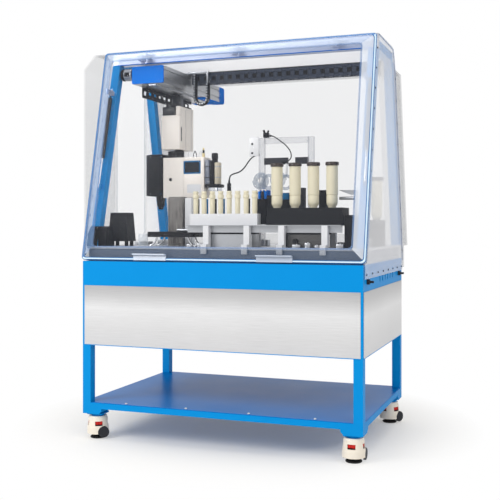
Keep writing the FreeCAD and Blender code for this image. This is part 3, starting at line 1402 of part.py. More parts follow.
def lay_rod():
    """Grey rod that lies across the tray."""
    x = TRAY_LEFT_X + LAY_ROD_OFF_TRAY
    z = DECK_TOP + TRAY_UNDER + TRAY_THICK + LAY_ROD_RADIUS
    return rod(x, back(LAY_ROD_IN), z, LAY_ROD_RADIUS, LAY_ROD_LENGTH, (1, 0, 0))


def tube_coil():
    """Clear tubing wound into two rings in front of the stand's left column."""
    y = back(STAND_IN) - COIL_WIRE - SEAT
    z = DECK_TOP + COIL_UP
    rings = []
    for radius in COIL_RADII:
        ring = ring_of_flats(radius, COIL_WIRE, 0, 0, 0)
        ring.rotate(Vector(0, 0, 0), Vector(1, 0, 0), 90)
        ring.translate(Vector(STAND_LEFT_X + STAND_COLUMN / 2, y, z))
        rings.append(ring)
    save("tube_coil", *rings)


def cord(points, radius):
    """A round cord along straight runs joined by tangent arcs."""
    spots = [Vector(*p) for p in points]
    edges = []
    start = spots[0]
    for before, at, after in zip(spots, spots[1:], spots[2:]):
        there = (at - before).normalize()
        away = (after - at).normalize()
        turn = there.getAngle(away)
        run = min((at - before).Length, (after - at).Length)
        reach = 0.45 * run
        bend = reach / math.tan(turn / 2)
        print("cord bend", round(bend, 1), "for radius", radius)
        enter = at - there * reach
        leave = at + away * reach
        inward = (away - there).normalize()
        middle = at + inward * (math.hypot(bend, reach) - bend)
        edges.append(Part.makeLine(start, enter))
        edges.append(Part.Arc(enter, middle, leave).toShape())
        start = leave
    edges.append(Part.makeLine(start, spots[-1]))
    path = Part.Wire(edges)
    ring = Part.Wire([Part.makeCircle(radius, spots[0], (spots[1] - spots[0]).normalize())])
    body = path.makePipeShell([ring], True, False)
    print("cord length", round(path.Length, 1))
    return body


def cables():
    """One cable from the stand's column to a clip on a small cartridge, one from its top block to a bar."""
    half = STAND_COLUMN / 2
    y = back(STAND_IN)
    clip_x = SMALL_FIRST_X + CLIP_ON * SMALL_PITCH
    clip_top = RACK_FLOOR + SMALL_HEIGHT + CLIP_HEIGHT
    left = STAND_LEFT_X - half
    top = DECK_TOP + STAND_HEIGHT
    route = [
        (left - 1.4, y + 13, top - 75), (left - 28, y + 2, top - 82), (left - 42, y - 20, top - 108),
        (left - 50, y - 50, top - 138), (left - 60, y - 86, top - 160), (left - 74, y - 122, top - 168),
        (clip_x, back(SMALL_IN), clip_top + 32), (clip_x, back(SMALL_IN), clip_top),
    ]
    save("short_cable", cord(route, 3.0))
    x = STAND_LEFT_X + half + STAND_BLOCK
    z = top + STAND_BLOCK_HEIGHT / 2
    route = [
        (x + 1.4, y + 13, z), (x + 26, y - 3, z - 4), (x + 54, y - 16, z - 24), (x + 86, y - 19, z - 46),
        (x + 110, y - 18, z - 76), (x + 114, y - 17, z - 104), (x + 96, y - 13, z - 122),
        (x + 68, y + 1.5, z - 123),
    ]
    save("sensor_cable", cord(route, 2.5))


def caster(name, side_x, side_y, heading):
    """One levelling caster; heading is the way its wheels trail, in degrees from +X."""
    cx = side_x * (HALF_W - CASTER_INSET)
    cy = side_y * (HALF_D - CASTER_INSET)
    top = CASTER_HEIGHT
    r = BELL_RADIUS
    neck = BELL_TOP_RADIUS
    crown = top - 14
    bell = turned(
        [(0, 22), (r, 22), (r, 48), (r - 2, 60), (neck + 3, crown - 8), (neck, crown), (0, crown)], 0, 0
    )
    low_room = rod(0, 0, 21, r - BELL_WALL, 31)
    floor = 56.0
    chamber = rod(0, 0, floor, THUMB_RADIUS + 1.2, THUMB_HEIGHT + 2 * SEAT)
    bell = bell.cut(low_room).cut(chamber)
    bell = bell.cut(rod(0, 0, 50, STEM_RADIUS + 0.4, 43))
    collar_z = top - 16
    bell = bell.cut(rod(0, 0, collar_z - SEAT, SWIVEL_RADIUS + RUNNING, 20))
    for angle in (0, 90, 180, 270):
        window = box(20, r + 2, -17, 17, floor + 3, floor + THUMB_HEIGHT - 2)
        window.rotate(Vector(0, 0, 0), Vector(0, 0, 1), angle)
        bell = bell.cut(window)
    axle_z = WHEEL_RADIUS + WHEEL_LIFT
    inner = PAD_RADIUS + 2
    for side in (-1, 1):
        y0 = side * inner if side > 0 else -inner - WHEEL_WIDTH
        slot = Part.makeCylinder(
            WHEEL_RADIUS + 1.5, WHEEL_WIDTH + 20, Vector(WHEEL_TRAIL, y0 - (1 if side > 0 else 19), axle_z),
            Vector(0, 1, 0),
        )
        bell = bell.cut(slot)
    for hanger in axle_hangers(inner, axle_z):
        bell = bell.fuse(hanger)
    start = Vector(WHEEL_TRAIL, -BELL_RADIUS, axle_z)
    bore = Part.makeCylinder(AXLE_RADIUS + RUNNING, 2 * BELL_RADIUS, start, Vector(0, 1, 0))
    bell = bell.cut(bore).removeSplitter()
    wheels = [wheel(y, axle_z) for y in (inner + SEAT, -inner - SEAT - WHEEL_WIDTH)]
    reach = inner + SEAT + WHEEL_WIDTH
    start = Vector(WHEEL_TRAIL, -reach, axle_z)
    axle = Part.makeCylinder(AXLE_RADIUS, 2 * reach, start, Vector(0, 1, 0))
    pair = axle.fuse(wheels[0]).fuse(wheels[1]).removeSplitter()
    thumb = rod(0, 0, floor + SEAT, THUMB_RADIUS, THUMB_HEIGHT)
    for i in range(THUMB_SCALLOPS):
        angle = 2 * math.pi * i / THUMB_SCALLOPS
        reach = THUMB_RADIUS + 3
        x = reach * math.cos(angle)
        y = reach * math.sin(angle)
        thumb = thumb.cut(rod(x, y, floor, 6, THUMB_HEIGHT + 1))
    thumb = thumb.cut(rod(0, 0, floor, STEM_RADIUS + RUNNING, THUMB_HEIGHT + 1))
    p = PAD_RADIUS
    h = PAD_HEIGHT
    pad = turned([(0, 0), (p - 2, 0), (p, 2), (p, 6), (p - 8, 11), (14, h - 4), (12, h), (0, h)], 0, 0)
    stem = rod(0, 0, PAD_HEIGHT, STEM_RADIUS, 86 - PAD_HEIGHT)
    parts = {"housing": [bell], "wheels": [pair], "thumb": [thumb], "foot": [pad, stem]}
    for suffix, solids in parts.items():
        for solid in solids:
            solid.rotate(Vector(0, 0, 0), Vector(0, 0, 1), heading)
            solid.translate(Vector(cx, cy, 0))
        save("caster_" + suffix + "_" + name, *solids)


def wheel(y, axle_z):
    disc = Part.makeCylinder(WHEEL_RADIUS, WHEEL_WIDTH, Vector(WHEEL_TRAIL, y, axle_z), Vector(0, 1, 0))
    rims = [e for e in disc.Edges if e.BoundBox.XLength > WHEEL_RADIUS]
    return disc.makeChamfer(WHEEL_CHAMFER, rims)


def axle_hangers(inner, axle_z):
    """Two hangers inside the bell, between the pad and the wheels, that carry the axle."""
    x = WHEEL_TRAIL
    return [box(x - 8, x + 8, y, y + 5, axle_z - 7, 53) for y in (inner - 6, -inner + 1)]


def caster_plate(side_x, side_y):
    """A caster's fixed top plate with the boss that its housing swivels on."""
    top = CASTER_HEIGHT
    plate = rounded(box(-38, 38, -38, 38, top - 6, top), 6, upright)
    fixed = plate.fuse(rod(0, 0, top - 16, SWIVEL_RADIUS, 10.5)).removeSplitter()
    fixed.translate(Vector(side_x * (HALF_W - CASTER_INSET), side_y * (HALF_D - CASTER_INSET), 0))
    return fixed


def casters():
    caster("front_right", 1, -1, 90)
    caster("front_left", -1, -1, 35)
    caster("rear_right", 1, 1, 60)
    caster("rear_left", -1, 1, 120)


def main():
    os.makedirs("parts", exist_ok=True)
    base_frame()
    base_shelf()
    skirt_panels()
    base_band()
    band_ports()
    deck()
    enclosure_frame()
    side_windows()
    back_cover()
    left_bay()
    rear_bay()
    fascia()
    gantry_rail()
    x_chain()
    hood_door()
    gas_springs()
    x_carriage()
    arm()
    z_head()
    ram_and_box()
    rack_supports()
    deck_steelwork()
    deck_units()
    white_rack()
    black_rack()
    cartridges()
    beaker()
    stand_frame()
    tube_coil()
    cables()
    casters()


main()
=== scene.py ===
import json
import math

import bmesh
import bpy
from mathutils import Matrix, Vector

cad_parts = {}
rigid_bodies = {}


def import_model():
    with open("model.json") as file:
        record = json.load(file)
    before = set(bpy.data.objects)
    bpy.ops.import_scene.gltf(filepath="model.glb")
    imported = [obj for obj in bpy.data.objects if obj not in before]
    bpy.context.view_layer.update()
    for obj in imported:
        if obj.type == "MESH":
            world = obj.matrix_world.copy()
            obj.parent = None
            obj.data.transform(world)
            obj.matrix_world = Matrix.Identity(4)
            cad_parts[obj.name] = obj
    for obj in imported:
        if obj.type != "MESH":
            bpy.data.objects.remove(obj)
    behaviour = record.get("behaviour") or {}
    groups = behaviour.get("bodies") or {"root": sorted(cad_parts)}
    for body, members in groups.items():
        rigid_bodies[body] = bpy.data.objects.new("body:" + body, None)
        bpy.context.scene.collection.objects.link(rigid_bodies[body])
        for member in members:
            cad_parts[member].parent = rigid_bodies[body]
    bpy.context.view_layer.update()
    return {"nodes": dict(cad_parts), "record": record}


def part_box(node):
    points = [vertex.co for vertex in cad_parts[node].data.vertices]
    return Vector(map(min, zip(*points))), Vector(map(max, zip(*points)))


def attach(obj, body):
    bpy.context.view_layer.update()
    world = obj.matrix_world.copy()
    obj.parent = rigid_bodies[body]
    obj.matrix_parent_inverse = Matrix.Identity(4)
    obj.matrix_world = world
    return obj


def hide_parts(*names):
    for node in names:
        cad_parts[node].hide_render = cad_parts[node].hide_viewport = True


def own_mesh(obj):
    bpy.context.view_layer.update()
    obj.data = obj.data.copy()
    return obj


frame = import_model()
nodes = frame["nodes"]
slotOf = {part["node"]: part["material_slot"] for part in frame["record"]["subparts"]}
bodyOf = {name: node.parent.name.split(":")[-1] for name, node in nodes.items()}
baseLow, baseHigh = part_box("base_frame")
middleX = (baseLow.x + baseHigh.x) / 2
frontY = baseLow.y
print("frame loaded:", len(nodes), "nodes")


def spot(x, depth, z):
    # millimetres right of the base's middle, back from its front face, and up from the floor
    return Vector((middleX + x / 1000, frontY + depth / 1000, z / 1000))


# shader groups that several materials share
groups = {}


def newGroup(name, inputs, outputs):
    group = bpy.data.node_groups.new(name, "ShaderNodeTree")
    for label, kind, value in inputs:
        socket = group.interface.new_socket(label, in_out="INPUT", socket_type=kind)
        if value is not None:
            socket.default_value = value
    for label, kind in outputs:
        group.interface.new_socket(label, in_out="OUTPUT", socket_type=kind)
    groups[name] = group
    return group, group.nodes.new("NodeGroupInput"), group.nodes.new("NodeGroupOutput")


def feed(tree, node, **values):
    # links or sets a node's inputs, given by name with _ for a blank
    for key, value in values.items():
        socket = node.inputs[key.replace("_", " ")]
        if isinstance(value, bpy.types.NodeSocket):
            tree.links.new(value, socket)
        else:
            socket.default_value = value


def put(tree, kind, **settings):
    # a node with its properties and its inputs
    node = tree.nodes.new(kind)
    for key, value in settings.items():
        if hasattr(node, key):
            setattr(node, key, value)
        else:
            feed(tree, node, **{key: value})
    return node


def mathNode(tree, operation, first, second=None, kind="ShaderNodeMath"):
    node = tree.nodes.new(kind)
    node.operation = operation
    for place, value in enumerate((first, second)):
        if isinstance(value, bpy.types.NodeSocket):
            tree.links.new(value, node.inputs[place])
        elif value is not None:
            node.inputs[place].default_value = value
    return node.outputs[0]


# the studio: camera, lamps and white surroundings
studio = {
    "cameraAt": (1419.6, -3415.4, 974.0),
    "cameraTurn": 20.2,
    "lens": 61.82,
    "shiftY": -0.05,
    "worldLevel": 0.55,
    "lamps": [
        {"name": "keyLamp", "at": (-2600, -3300, 3300), "size": 2.6, "power": 135},
        {"name": "fillLamp", "at": (3300, -2100, 2100), "size": 2.4, "power": 34},
        {"name": "topLamp", "at": (200, 500, 4300), "size": 3.2, "power": 52},
    ],
}


def whiteRays(tree, paths):
    # 1 for the rays that see the backdrop: straight ones, mirrored ones and those through glass
    total = paths.outputs["Is Camera Ray"]
    for name in ("Is Glossy Ray", "Is Transmission Ray"):
        either = tree.nodes.new("ShaderNodeMath")
        either.operation = "MAXIMUM"
        tree.links.new(total, either.inputs[0])
        tree.links.new(paths.outputs[name], either.inputs[1])
        total = either.outputs[0]
    return total


def buildStudio():
    scene = bpy.context.scene
    scene.view_settings.view_transform = "Standard"
    scene.cycles.transparent_max_bounces = 32
    camera = bpy.data.cameras.new("camera")
    camera.lens = studio["lens"]
    camera.sensor_width = 36
    camera.shift_y = studio["shiftY"]
    camera.clip_end = 60
    eye = bpy.data.objects.new("camera", camera)
    eye.location = spot(*studio["cameraAt"])
    eye.rotation_euler = (math.pi / 2, 0, math.radians(studio["cameraTurn"]))
    scene.collection.objects.link(eye)
    scene.camera = eye
    target = spot(0, 430, 900)
    for lamp in studio["lamps"]:
        light = bpy.data.lights.new(lamp["name"], "AREA")
        light.shape = "DISK"
        light.size = lamp["size"]
        light.energy = lamp["power"]
        holder = bpy.data.objects.new(lamp["name"], light)
        holder.location = spot(*lamp["at"])
        holder.rotation_euler = (target - holder.location).to_track_quat("-Z", "Y").to_euler()
        scene.collection.objects.link(holder)
    world = bpy.data.worlds.new("studioWorld")
    world.use_nodes = True
    scene.world = world
    tree = world.node_tree
    tree.nodes.clear()
    seen = whiteRays(tree, tree.nodes.new("ShaderNodeLightPath"))
    level = put(tree, "ShaderNodeMapRange", Value=seen, To_Min=studio["worldLevel"], To_Max=1.0)
    glow = put(tree, "ShaderNodeBackground", Color=(1, 1, 1, 1), Strength=level.outputs["Result"])
    out = tree.nodes.new("ShaderNodeOutputWorld")
    tree.links.new(glow.outputs["Background"], out.inputs["Surface"])


buildStudio()
print("studio built")


def buildGroups():
    # fine streaks along one way, for brushed sheet and drawn bar
    tree, come, go = newGroup(
        "brushedStreaks",
        [("Vector", "NodeSocketVector", None), ("Stretch", "NodeSocketVector", (1, 90, 90)),
         ("Depth", "NodeSocketFloat", 0.5)],
        [("Streaks", "NodeSocketFloat"), ("Normal", "NodeSocketVector")],
    )
    place, stretch, depth = (come.outputs[name] for name in ("Vector", "Stretch", "Depth"))
    scaled = mathNode(tree, "MULTIPLY", place, stretch, "ShaderNodeVectorMath")
    noise = put(tree, "ShaderNodeTexNoise", Vector=scaled, Scale=6.0, Detail=4.0, Roughness=0.65)
    bump = put(tree, "ShaderNodeBump", Height=noise.outputs["Fac"], Distance=0.0006, Strength=depth)
    tree.links.new(noise.outputs["Fac"], go.inputs["Streaks"])
    tree.links.new(bump.outputs["Normal"], go.inputs["Normal"])
    # the orange peel of powder coat and the grain of moulded plastic
    tree, come, go = newGroup(
        "skinGrain",
        [("Vector", "NodeSocketVector", None), ("Scale", "NodeSocketFloat", 700.0),
         ("Depth", "NodeSocketFloat", 0.2)],
        [("Grain", "NodeSocketFloat"), ("Normal", "NodeSocketVector")],
    )
    place, scale, depth = (come.outputs[name] for name in ("Vector", "Scale", "Depth"))
    noise = put(tree, "ShaderNodeTexNoise", Vector=place, Scale=scale, Detail=2.0)
    bump = put(tree, "ShaderNodeBump", Height=noise.outputs["Fac"], Distance=0.0004, Strength=depth)
    tree.links.new(noise.outputs["Fac"], go.inputs["Grain"])
    tree.links.new(bump.outputs["Normal"], go.inputs["Normal"])
    # broad, faint changes of shade: handling marks, dust and uneven finish
    tree, come, go = newGroup(
        "handledTone",
        [("Vector", "NodeSocketVector", None), ("Color", "NodeSocketColor", (1, 1, 1, 1)),
         ("Amount", "NodeSocketFloat", 0.08), ("Scale", "NodeSocketFloat", 5.0)],
        [("Color", "NodeSocketColor"), ("Mask", "NodeSocketFloat")],
    )
    noise = put(
        tree, "ShaderNodeTexNoise", Vector=come.outputs["Vector"], Scale=come.outputs["Scale"], Detail=5.0,
        Roughness=0.6,
    )
    spread = mathNode(tree, "SUBTRACT", noise.outputs["Fac"], 0.5)
    spread = mathNode(tree, "MULTIPLY", spread, come.outputs["Amount"])
    gain = mathNode(tree, "ADD", mathNode(tree, "MULTIPLY", spread, 2.0), 1.0)
    shade = put(tree, "ShaderNodeVectorMath", operation="SCALE", Scale=gain)
    tree.links.new(come.outputs["Color"], shade.inputs[0])
    tree.links.new(shade.outputs[0], go.inputs["Color"])
    tree.links.new(noise.outputs["Fac"], go.inputs["Mask"])


buildGroups()


def useGroup(tree, name, **values):
    node = tree.nodes.new("ShaderNodeGroup")
    node.node_tree = groups[name]
    feed(tree, node, **values)
    return node


def startMaterial(name):
    material = bpy.data.materials.new(name)
    material.use_nodes = True
    tree = material.node_tree
    coords = tree.nodes.new("ShaderNodeTexCoord")
    return material, tree, tree.nodes["Principled BSDF"], coords.outputs["Object"]


def linear(red, green, blue):
    # screen values 0 to 255 as the shader's linear colour
    out = []
    for value in (red, green, blue):
        c = value / 255
        out.append(c / 12.92 if c <= 0.04045 else ((c + 0.055) / 1.055) ** 2.4)
    return (*out, 1.0)


# the finishes
painted = {
    # screen colour, roughness, grain scale, grain depth, change of tone, clear coat, mirror strength
    "bluePaint": ((0, 139, 212), 0.45, 900, 0.1, 0.03, 0.0, 0.08),
    "bluePlastic": ((0, 112, 212), 0.45, 1500, 0.1, 0.03, 0.0, 0.0),
    # a darker copy of bluePaint for the base shelf: painted shade
    "shelfPaint": ((0, 112, 190), 0.3, 900, 0.05, 0.06, 0.0, 0.06),
    "screenBlue": ((0, 104, 160), 0.4, 1500, 0.1, 0.03, 0.0, 0.1),
    "steelBlue": ((112, 118, 132), 0.36, 1500, 0.1, 0.05, 0.1, 0.4),
    "whitePlastic": ((218, 219, 222), 0.38, 1400, 0.1, 0.03, 0.1, 0.4),
    "blackPlastic": ((17, 17, 19), 0.5, 1600, 0.2, 0.12, 0.0, 0.12),
    "darkGrey": ((46, 47, 52), 0.5, 1600, 0.2, 0.1, 0.0, 0.15),
    "slate": ((62, 69, 84), 0.45, 1600, 0.2, 0.1, 0.0, 0.2),
    # a lighter copy of whitePlastic for the fascia: painted light against the shade it stands in
    "fasciaWhite": ((253, 253, 254), 0.4, 1400, 0.1, 0.02, 0.0, 0.2),
    "cream": ((216, 209, 184), 0.5, 1800, 0.15, 0.05, 0.0, 0.3),
    "darkCap": ((46, 34, 27), 0.45, 1700, 0.2, 0.1, 0.1, 0.3),
    "palePaint": ((238, 231, 223), 0.42, 1100, 0.12, 0.03, 0.05, 0.4),
    "ivory": ((236, 227, 212), 0.38, 900, 0.15, 0.05, 0.2, 0.5),
    "redPlastic": ((196, 26, 18), 0.42, 1500, 0.15, 0.08, 0.0, 0.3),
    "blackGloss": ((22, 23, 26), 0.3, 700, 0.06, 0.06, 0.2, 0.4),
    "blackRubber": ((28, 28, 30), 0.62, 1200, 0.3, 0.12, 0.0, 0.25),
    "beige": ((202, 192, 170), 0.45, 1500, 0.15, 0.05, 0.0, 0.4),
    "amber": ((222, 204, 150), 0.35, 1500, 0.1, 0.06, 0.2, 0.5),
}
metals = {
    # screen colour, roughness, stretch of the streaks, their depth, metallic, their contrast
    "brushedSteel": ((196, 197, 200), 0.38, (1.5, 160, 160), 0.5, 0.7, 0.12),
    "darkSteel": ((84, 83, 82), 0.42, (70, 70, 70), 0.8, 0.8, 0.5),
    "columnSteel": ((120, 117, 114), 0.3, (34, 34, 2), 0.3, 0.9, 0.7),
    # a darker, bluish copy of brushedSteel for the deck skirt: painted shade
    "deckSteel": ((124, 130, 144), 0.4, (3, 140, 140), 0.4, 0.75, 0.12),
    "aluminium": ((172, 174, 178), 0.32, (120, 3, 160), 0.3, 0.8, 0.14),
    "anodised": ((190, 200, 224), 0.3, (2, 120, 120), 0.2, 0.5, 0.06),
    "chrome": ((214, 215, 218), 0.14, (60, 60, 60), 0.05, 1.0, 0.03),
    # a lighter copy of brushedSteel for the skirt panels: painted light, with painted shade added by
    # shadeSkirt
    "skirtSteel": ((222, 222, 223), 0.38, (1.5, 160, 160), 0.5, 0.6, 0.12),
}
clears = {
    # colour, how much it hides seen straight on and along its face, roughness
    "clearSheet": ((196, 204, 222), 0.018, 0.3, 0.05),
    "backSheet": ((138, 140, 146), 0.17, 0.3, 0.1),
    "sideSheet": ((242, 244, 250), 0.05, 0.64, 0.08),
    "hazySheet": ((128, 131, 139), 0.08, 0.6, 0.2),
    "greyRim": ((150, 154, 162), 0.6, 0.9, 0.15),
    "rimBlue": ((44, 112, 176), 0.75, 0.9, 0.12),
    # painted highlight for the door's right and bottom rims
    "rimBright": ((214, 238, 252), 0.92, 0.97, 0.1),
    "flangeSheet": ((112, 138, 170), 0.3, 0.8, 0.1),
    # the door's sloping walls, one colour for each side: painted light and shade
    "leftWall": ((120, 158, 205), 0.3, 0.9, 0.1),
    "rightWall": ((232, 238, 248), 0.45, 0.9, 0.1),
    "topWall": ((190, 204, 226), 0.42, 0.9, 0.1),
    "bottomWall": ((74, 96, 122), 0.22, 0.6, 0.1),
    "innerLine": ((112, 142, 186), 0.42, 0.8, 0.1),
    "labGlass": ((226, 234, 242), 0.14, 0.8, 0.05),
    "clearBar": ((196, 198, 204), 0.28, 0.8, 0.1),
    "clearWhite": ((206, 216, 232), 0.6, 0.9, 0.12),
    "tubing": ((150, 166, 186), 0.5, 0.9, 0.15),
}
# which finish each of the record's slots is shown in
slotLooks = {
    "blue_paint": "bluePaint", "brushed": "brushedSteel", "aluminium": "aluminium", "clear": "clearSheet",
    "frosted_clear": "hazySheet", "white_plastic": "whitePlastic", "blue_plastic": "bluePlastic",
    "black_plastic": "blackPlastic", "dark_grey": "darkGrey", "cream": "cream", "pale_housing": "palePaint",
    "white_case": "palePaint", "ivory": "ivory", "red_plastic": "redPlastic",
    "chrome": "chrome", "black_metal": "blackGloss", "rubber": "blackRubber", "glass": "labGlass",
    "tubing": "tubing",
}
# the nodes whose finish differs from their slot's: lighter and darker copies of the slot's finish, as painted
# light and shade
nodeLooks = {
    "skirt_panels": "skirtSteel", "deck_skirt": "deckSteel", "fascia": "fasciaWhite",
    "base_shelf": "shelfPaint",
}
materials = {}


def paintedFinish(name, look):
    color, rough, scale, depth, amount, coat, mirror = look
    material, tree, shader, place = startMaterial(name)
    tone = useGroup(tree, "handledTone", Vector=place, Color=linear(*color), Amount=amount)
    grain = useGroup(tree, "skinGrain", Vector=place, Scale=scale, Depth=depth)
    mask = tone.outputs["Mask"]
    spread = put(tree, "ShaderNodeMapRange", Value=mask, To_Min=rough - 0.06, To_Max=rough + 0.06)
    feed(
        tree, shader, Base_Color=tone.outputs["Color"], Normal=grain.outputs["Normal"],
        Roughness=spread.outputs["Result"], Coat_Weight=coat, Coat_Roughness=0.15, Specular_IOR_Level=mirror,
    )
    return material


def metalFinish(name, look):
    color, rough, stretch, depth, metallic, contrast = look
    material, tree, shader, place = startMaterial(name)
    streaks = useGroup(tree, "brushedStreaks", Vector=place, Stretch=stretch, Depth=depth)
    tone = useGroup(tree, "handledTone", Vector=place, Color=linear(*color), Amount=0.05, Scale=3.0)
    line = streaks.outputs["Streaks"]
    shade = put(
        tree, "ShaderNodeMapRange", Value=line, From_Min=0.3, From_Max=0.7, To_Min=1 - contrast,
        To_Max=1 + contrast / 2,
    )
    mixed = put(tree, "ShaderNodeVectorMath", operation="SCALE", Scale=shade.outputs["Result"])
    tree.links.new(tone.outputs["Color"], mixed.inputs[0])
    spread = put(tree, "ShaderNodeMapRange", Value=line, To_Min=rough - 0.08, To_Max=rough + 0.08)
    feed(
        tree, shader, Base_Color=mixed.outputs[0], Normal=streaks.outputs["Normal"],
        Roughness=spread.outputs["Result"], Metallic=metallic,
    )
    return material


def clearFinish(name, look):
    color, flat, edge, rough = look
    material, tree, shader, place = startMaterial(name)
    tone = useGroup(tree, "handledTone", Vector=place, Color=linear(*color), Amount=0.02, Scale=2.0)
    facing = put(tree, "ShaderNodeLayerWeight", Blend=0.5).outputs["Facing"]
    hide = put(tree, "ShaderNodeMapRange", Value=facing, From_Min=0.45, To_Min=flat, To_Max=edge)
    feed(tree, shader, Base_Color=tone.outputs["Color"], Roughness=rough, Alpha=hide.outputs["Result"])
    return material


def shadeSkirt(material):
    # painted shade on the skirt's brushed sheet: darker under the band and lightest a little below it, as a
    # soft-lit room would shade it; positions are heights in metres
    tree = material.node_tree
    shader = tree.nodes["Principled BSDF"]
    before = shader.inputs["Base Color"].links[0].from_socket
    coords = [node for node in tree.nodes if node.bl_idname == "ShaderNodeTexCoord"][0]
    parts = put(tree, "ShaderNodeSeparateXYZ", Vector=coords.outputs["Object"])
    ramp = put(tree, "ShaderNodeValToRGB", Fac=parts.outputs["Z"])
    ramp.color_ramp.elements[0].position = 0.43
    ramp.color_ramp.elements[0].color = (0.86, 0.86, 0.87, 1)
    ramp.color_ramp.elements[1].position = 0.7
    ramp.color_ramp.elements[1].color = (0.6, 0.6, 0.61, 1)
    for position, level in ((0.5, 0.9), (0.6, 1.0), (0.66, 0.72)):
        ramp.color_ramp.elements.new(position).color = (level, level, level, 1)
    shaded = put(tree, "ShaderNodeVectorMath", operation="MULTIPLY")
    tree.links.new(before, shaded.inputs[0])
    tree.links.new(ramp.outputs["Color"], shaded.inputs[1])
    tree.links.new(shaded.outputs[0], shader.inputs["Base Color"])


def screenFinish():
    # dark display glass, faintly uneven
    material, tree, shader, place = startMaterial("displayGlass")
    tone = useGroup(tree, "handledTone", Vector=place, Color=linear(24, 27, 33), Amount=0.15, Scale=14.0)
    feed(tree, shader, Base_Color=tone.outputs["Color"], Roughness=0.2, Specular_IOR_Level=0.15)
    return material


def buildMaterials():
    for name, look in painted.items():
        materials[name] = paintedFinish(name, look)
    for name, look in metals.items():
        materials[name] = metalFinish(name, look)
    for name, look in clears.items():
        materials[name] = clearFinish(name, look)
    materials["displayGlass"] = screenFinish()
    shadeSkirt(materials["skirtSteel"])
    for name, node in nodes.items():
        node.data.materials.clear()
        node.data.materials.append(materials[nodeLooks.get(name, slotLooks[slotOf[name]])])


buildMaterials()
print("materials built:", len(materials))


# ways to make a piece's mesh; sizes are in millimetres
def block(shape, x, depth, z, look=0, round=0.0, steps=2):
    verts = bmesh.ops.create_cube(shape, size=1.0)["verts"]
    low = spot(x[0], depth[0], z[0])
    high = spot(x[1], depth[1], z[1])
    middle = (low + high) / 2
    size = high - low
    for vert in verts:
        vert.co = Vector([middle[i] + vert.co[i] * size[i] for i in range(3)])
    faces = {face for vert in verts for face in vert.link_faces}
    for face in faces:
        face.material_index = look
    if round:
        edges = list({edge for vert in verts for edge in vert.link_edges})
        bmesh.ops.bevel(
            shape, geom=edges, offset=round / 1000, segments=steps, profile=0.5, affect="EDGES",
            clamp_overlap=True, material=look,
        )


def bar(shape, start, end, radius, look=0, sides=24, tip=None, round=0.0):
    start = spot(*start)
    end = spot(*end)
    way = end - start
    place = Matrix.Translation((start + end) / 2) @ way.to_track_quat("Z", "Y").to_matrix().to_4x4()
    tip = radius if tip is None else tip
    verts = bmesh.ops.create_cone(
        shape, cap_ends=True, segments=sides, radius1=radius / 1000, radius2=tip / 1000, depth=way.length,
        matrix=place,
    )["verts"]
    faces = {face for vert in verts for face in vert.link_faces}
    for face in faces:
        face.material_index = look
    if round:
        rims = list({e for v in verts for e in v.link_edges if any(len(f.verts) > 4 for f in e.link_faces)})
        bmesh.ops.bevel(
            shape, geom=rims, offset=round / 1000, segments=2, profile=0.5, affect="EDGES",
            clamp_overlap=True, material=look,
        )


def lathe(shape, at, outline, look=0, sides=32):
    # turns (radius, height) points about the vertical through at
    middle = spot(*at)
    rings = []
    for radius, height in outline:
        radius, height = radius / 1000, height / 1000
        if radius == 0:
            rings.append([shape.verts.new(middle + Vector((0, 0, height)))])
            continue
        ring = []
        for i in range(sides):
            angle = 2 * math.pi * i / sides
            corner = Vector((radius * math.cos(angle), radius * math.sin(angle), height))
            ring.append(shape.verts.new(middle + corner))
        rings.append(ring)
    for k in range(len(rings) - 1):
        low, high = rings[k], rings[k + 1]
        for i in range(sides):
            j = (i + 1) % sides
            corners = [low[i % len(low)], low[j % len(low)], high[j % len(high)], high[i % len(high)]]
            loop = []
            for corner in corners:
                if corner not in loop:
                    loop.append(corner)
            if len(loop) > 2:
                shape.faces.new(loop).material_index = look
    for ring in (rings[0], rings[-1]):
        if len(ring) > 1:
            shape.faces.new(ring).material_index = look


def addPiece(name, mesh, body, looks, replaced=()):
    if mesh.materials:
        mesh.materials.clear()
    for look in looks:
        mesh.materials.append(materials[look])
    item = bpy.data.objects.new(name, mesh)
    bpy.context.scene.collection.objects.link(item)
    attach(item, body)
    if replaced:
        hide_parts(*replaced)
    return item


def closeShape(shape, name, body, looks, replaced=(), sharp=35):
    bmesh.ops.recalc_face_normals(shape, faces=shape.faces)
    shadeShape(shape, sharp)
    mesh = bpy.data.meshes.new(name)
    shape.to_mesh(mesh)
    shape.free()
    return addPiece(name, mesh, body, looks, replaced)


def shadeShape(shape, sharp):
    for face in shape.faces:
        face.smooth = True
    for edge in shape.edges:
        if len(edge.link_faces) == 2:
            edge.smooth = edge.calc_face_angle(0) < math.radians(sharp)


def mergedCopy(nodeName):
    shape = bmesh.new()
    shape.from_mesh(nodes[nodeName].data)
    bmesh.ops.remove_doubles(shape, verts=shape.verts, dist=0.00001)
    bmesh.ops.dissolve_limit(
        shape, angle_limit=math.radians(0.5), verts=shape.verts, edges=shape.edges, delimit=set()
    )
    for face in shape.faces:
        face.material_index = 0
    return shape


def stripWidth(face):
    # about 5 mm for the rim of a sheet, and far more for its face
    rim = sum(edge.calc_length() for edge in face.edges)
    return 2000 * face.calc_area() / max(rim, 1e-9)


def islands(shape):
    # the separate solids of a mesh, as lists of faces
    left = set(shape.faces)
    found = []
    while left:
        todo = [left.pop()]
        group = []
        while todo:
            face = todo.pop()
            group.append(face)
            for edge in face.edges:
                for other in edge.link_faces:
                    if other in left:
                        left.remove(other)
                        todo.append(other)
        found.append(group)
    return found


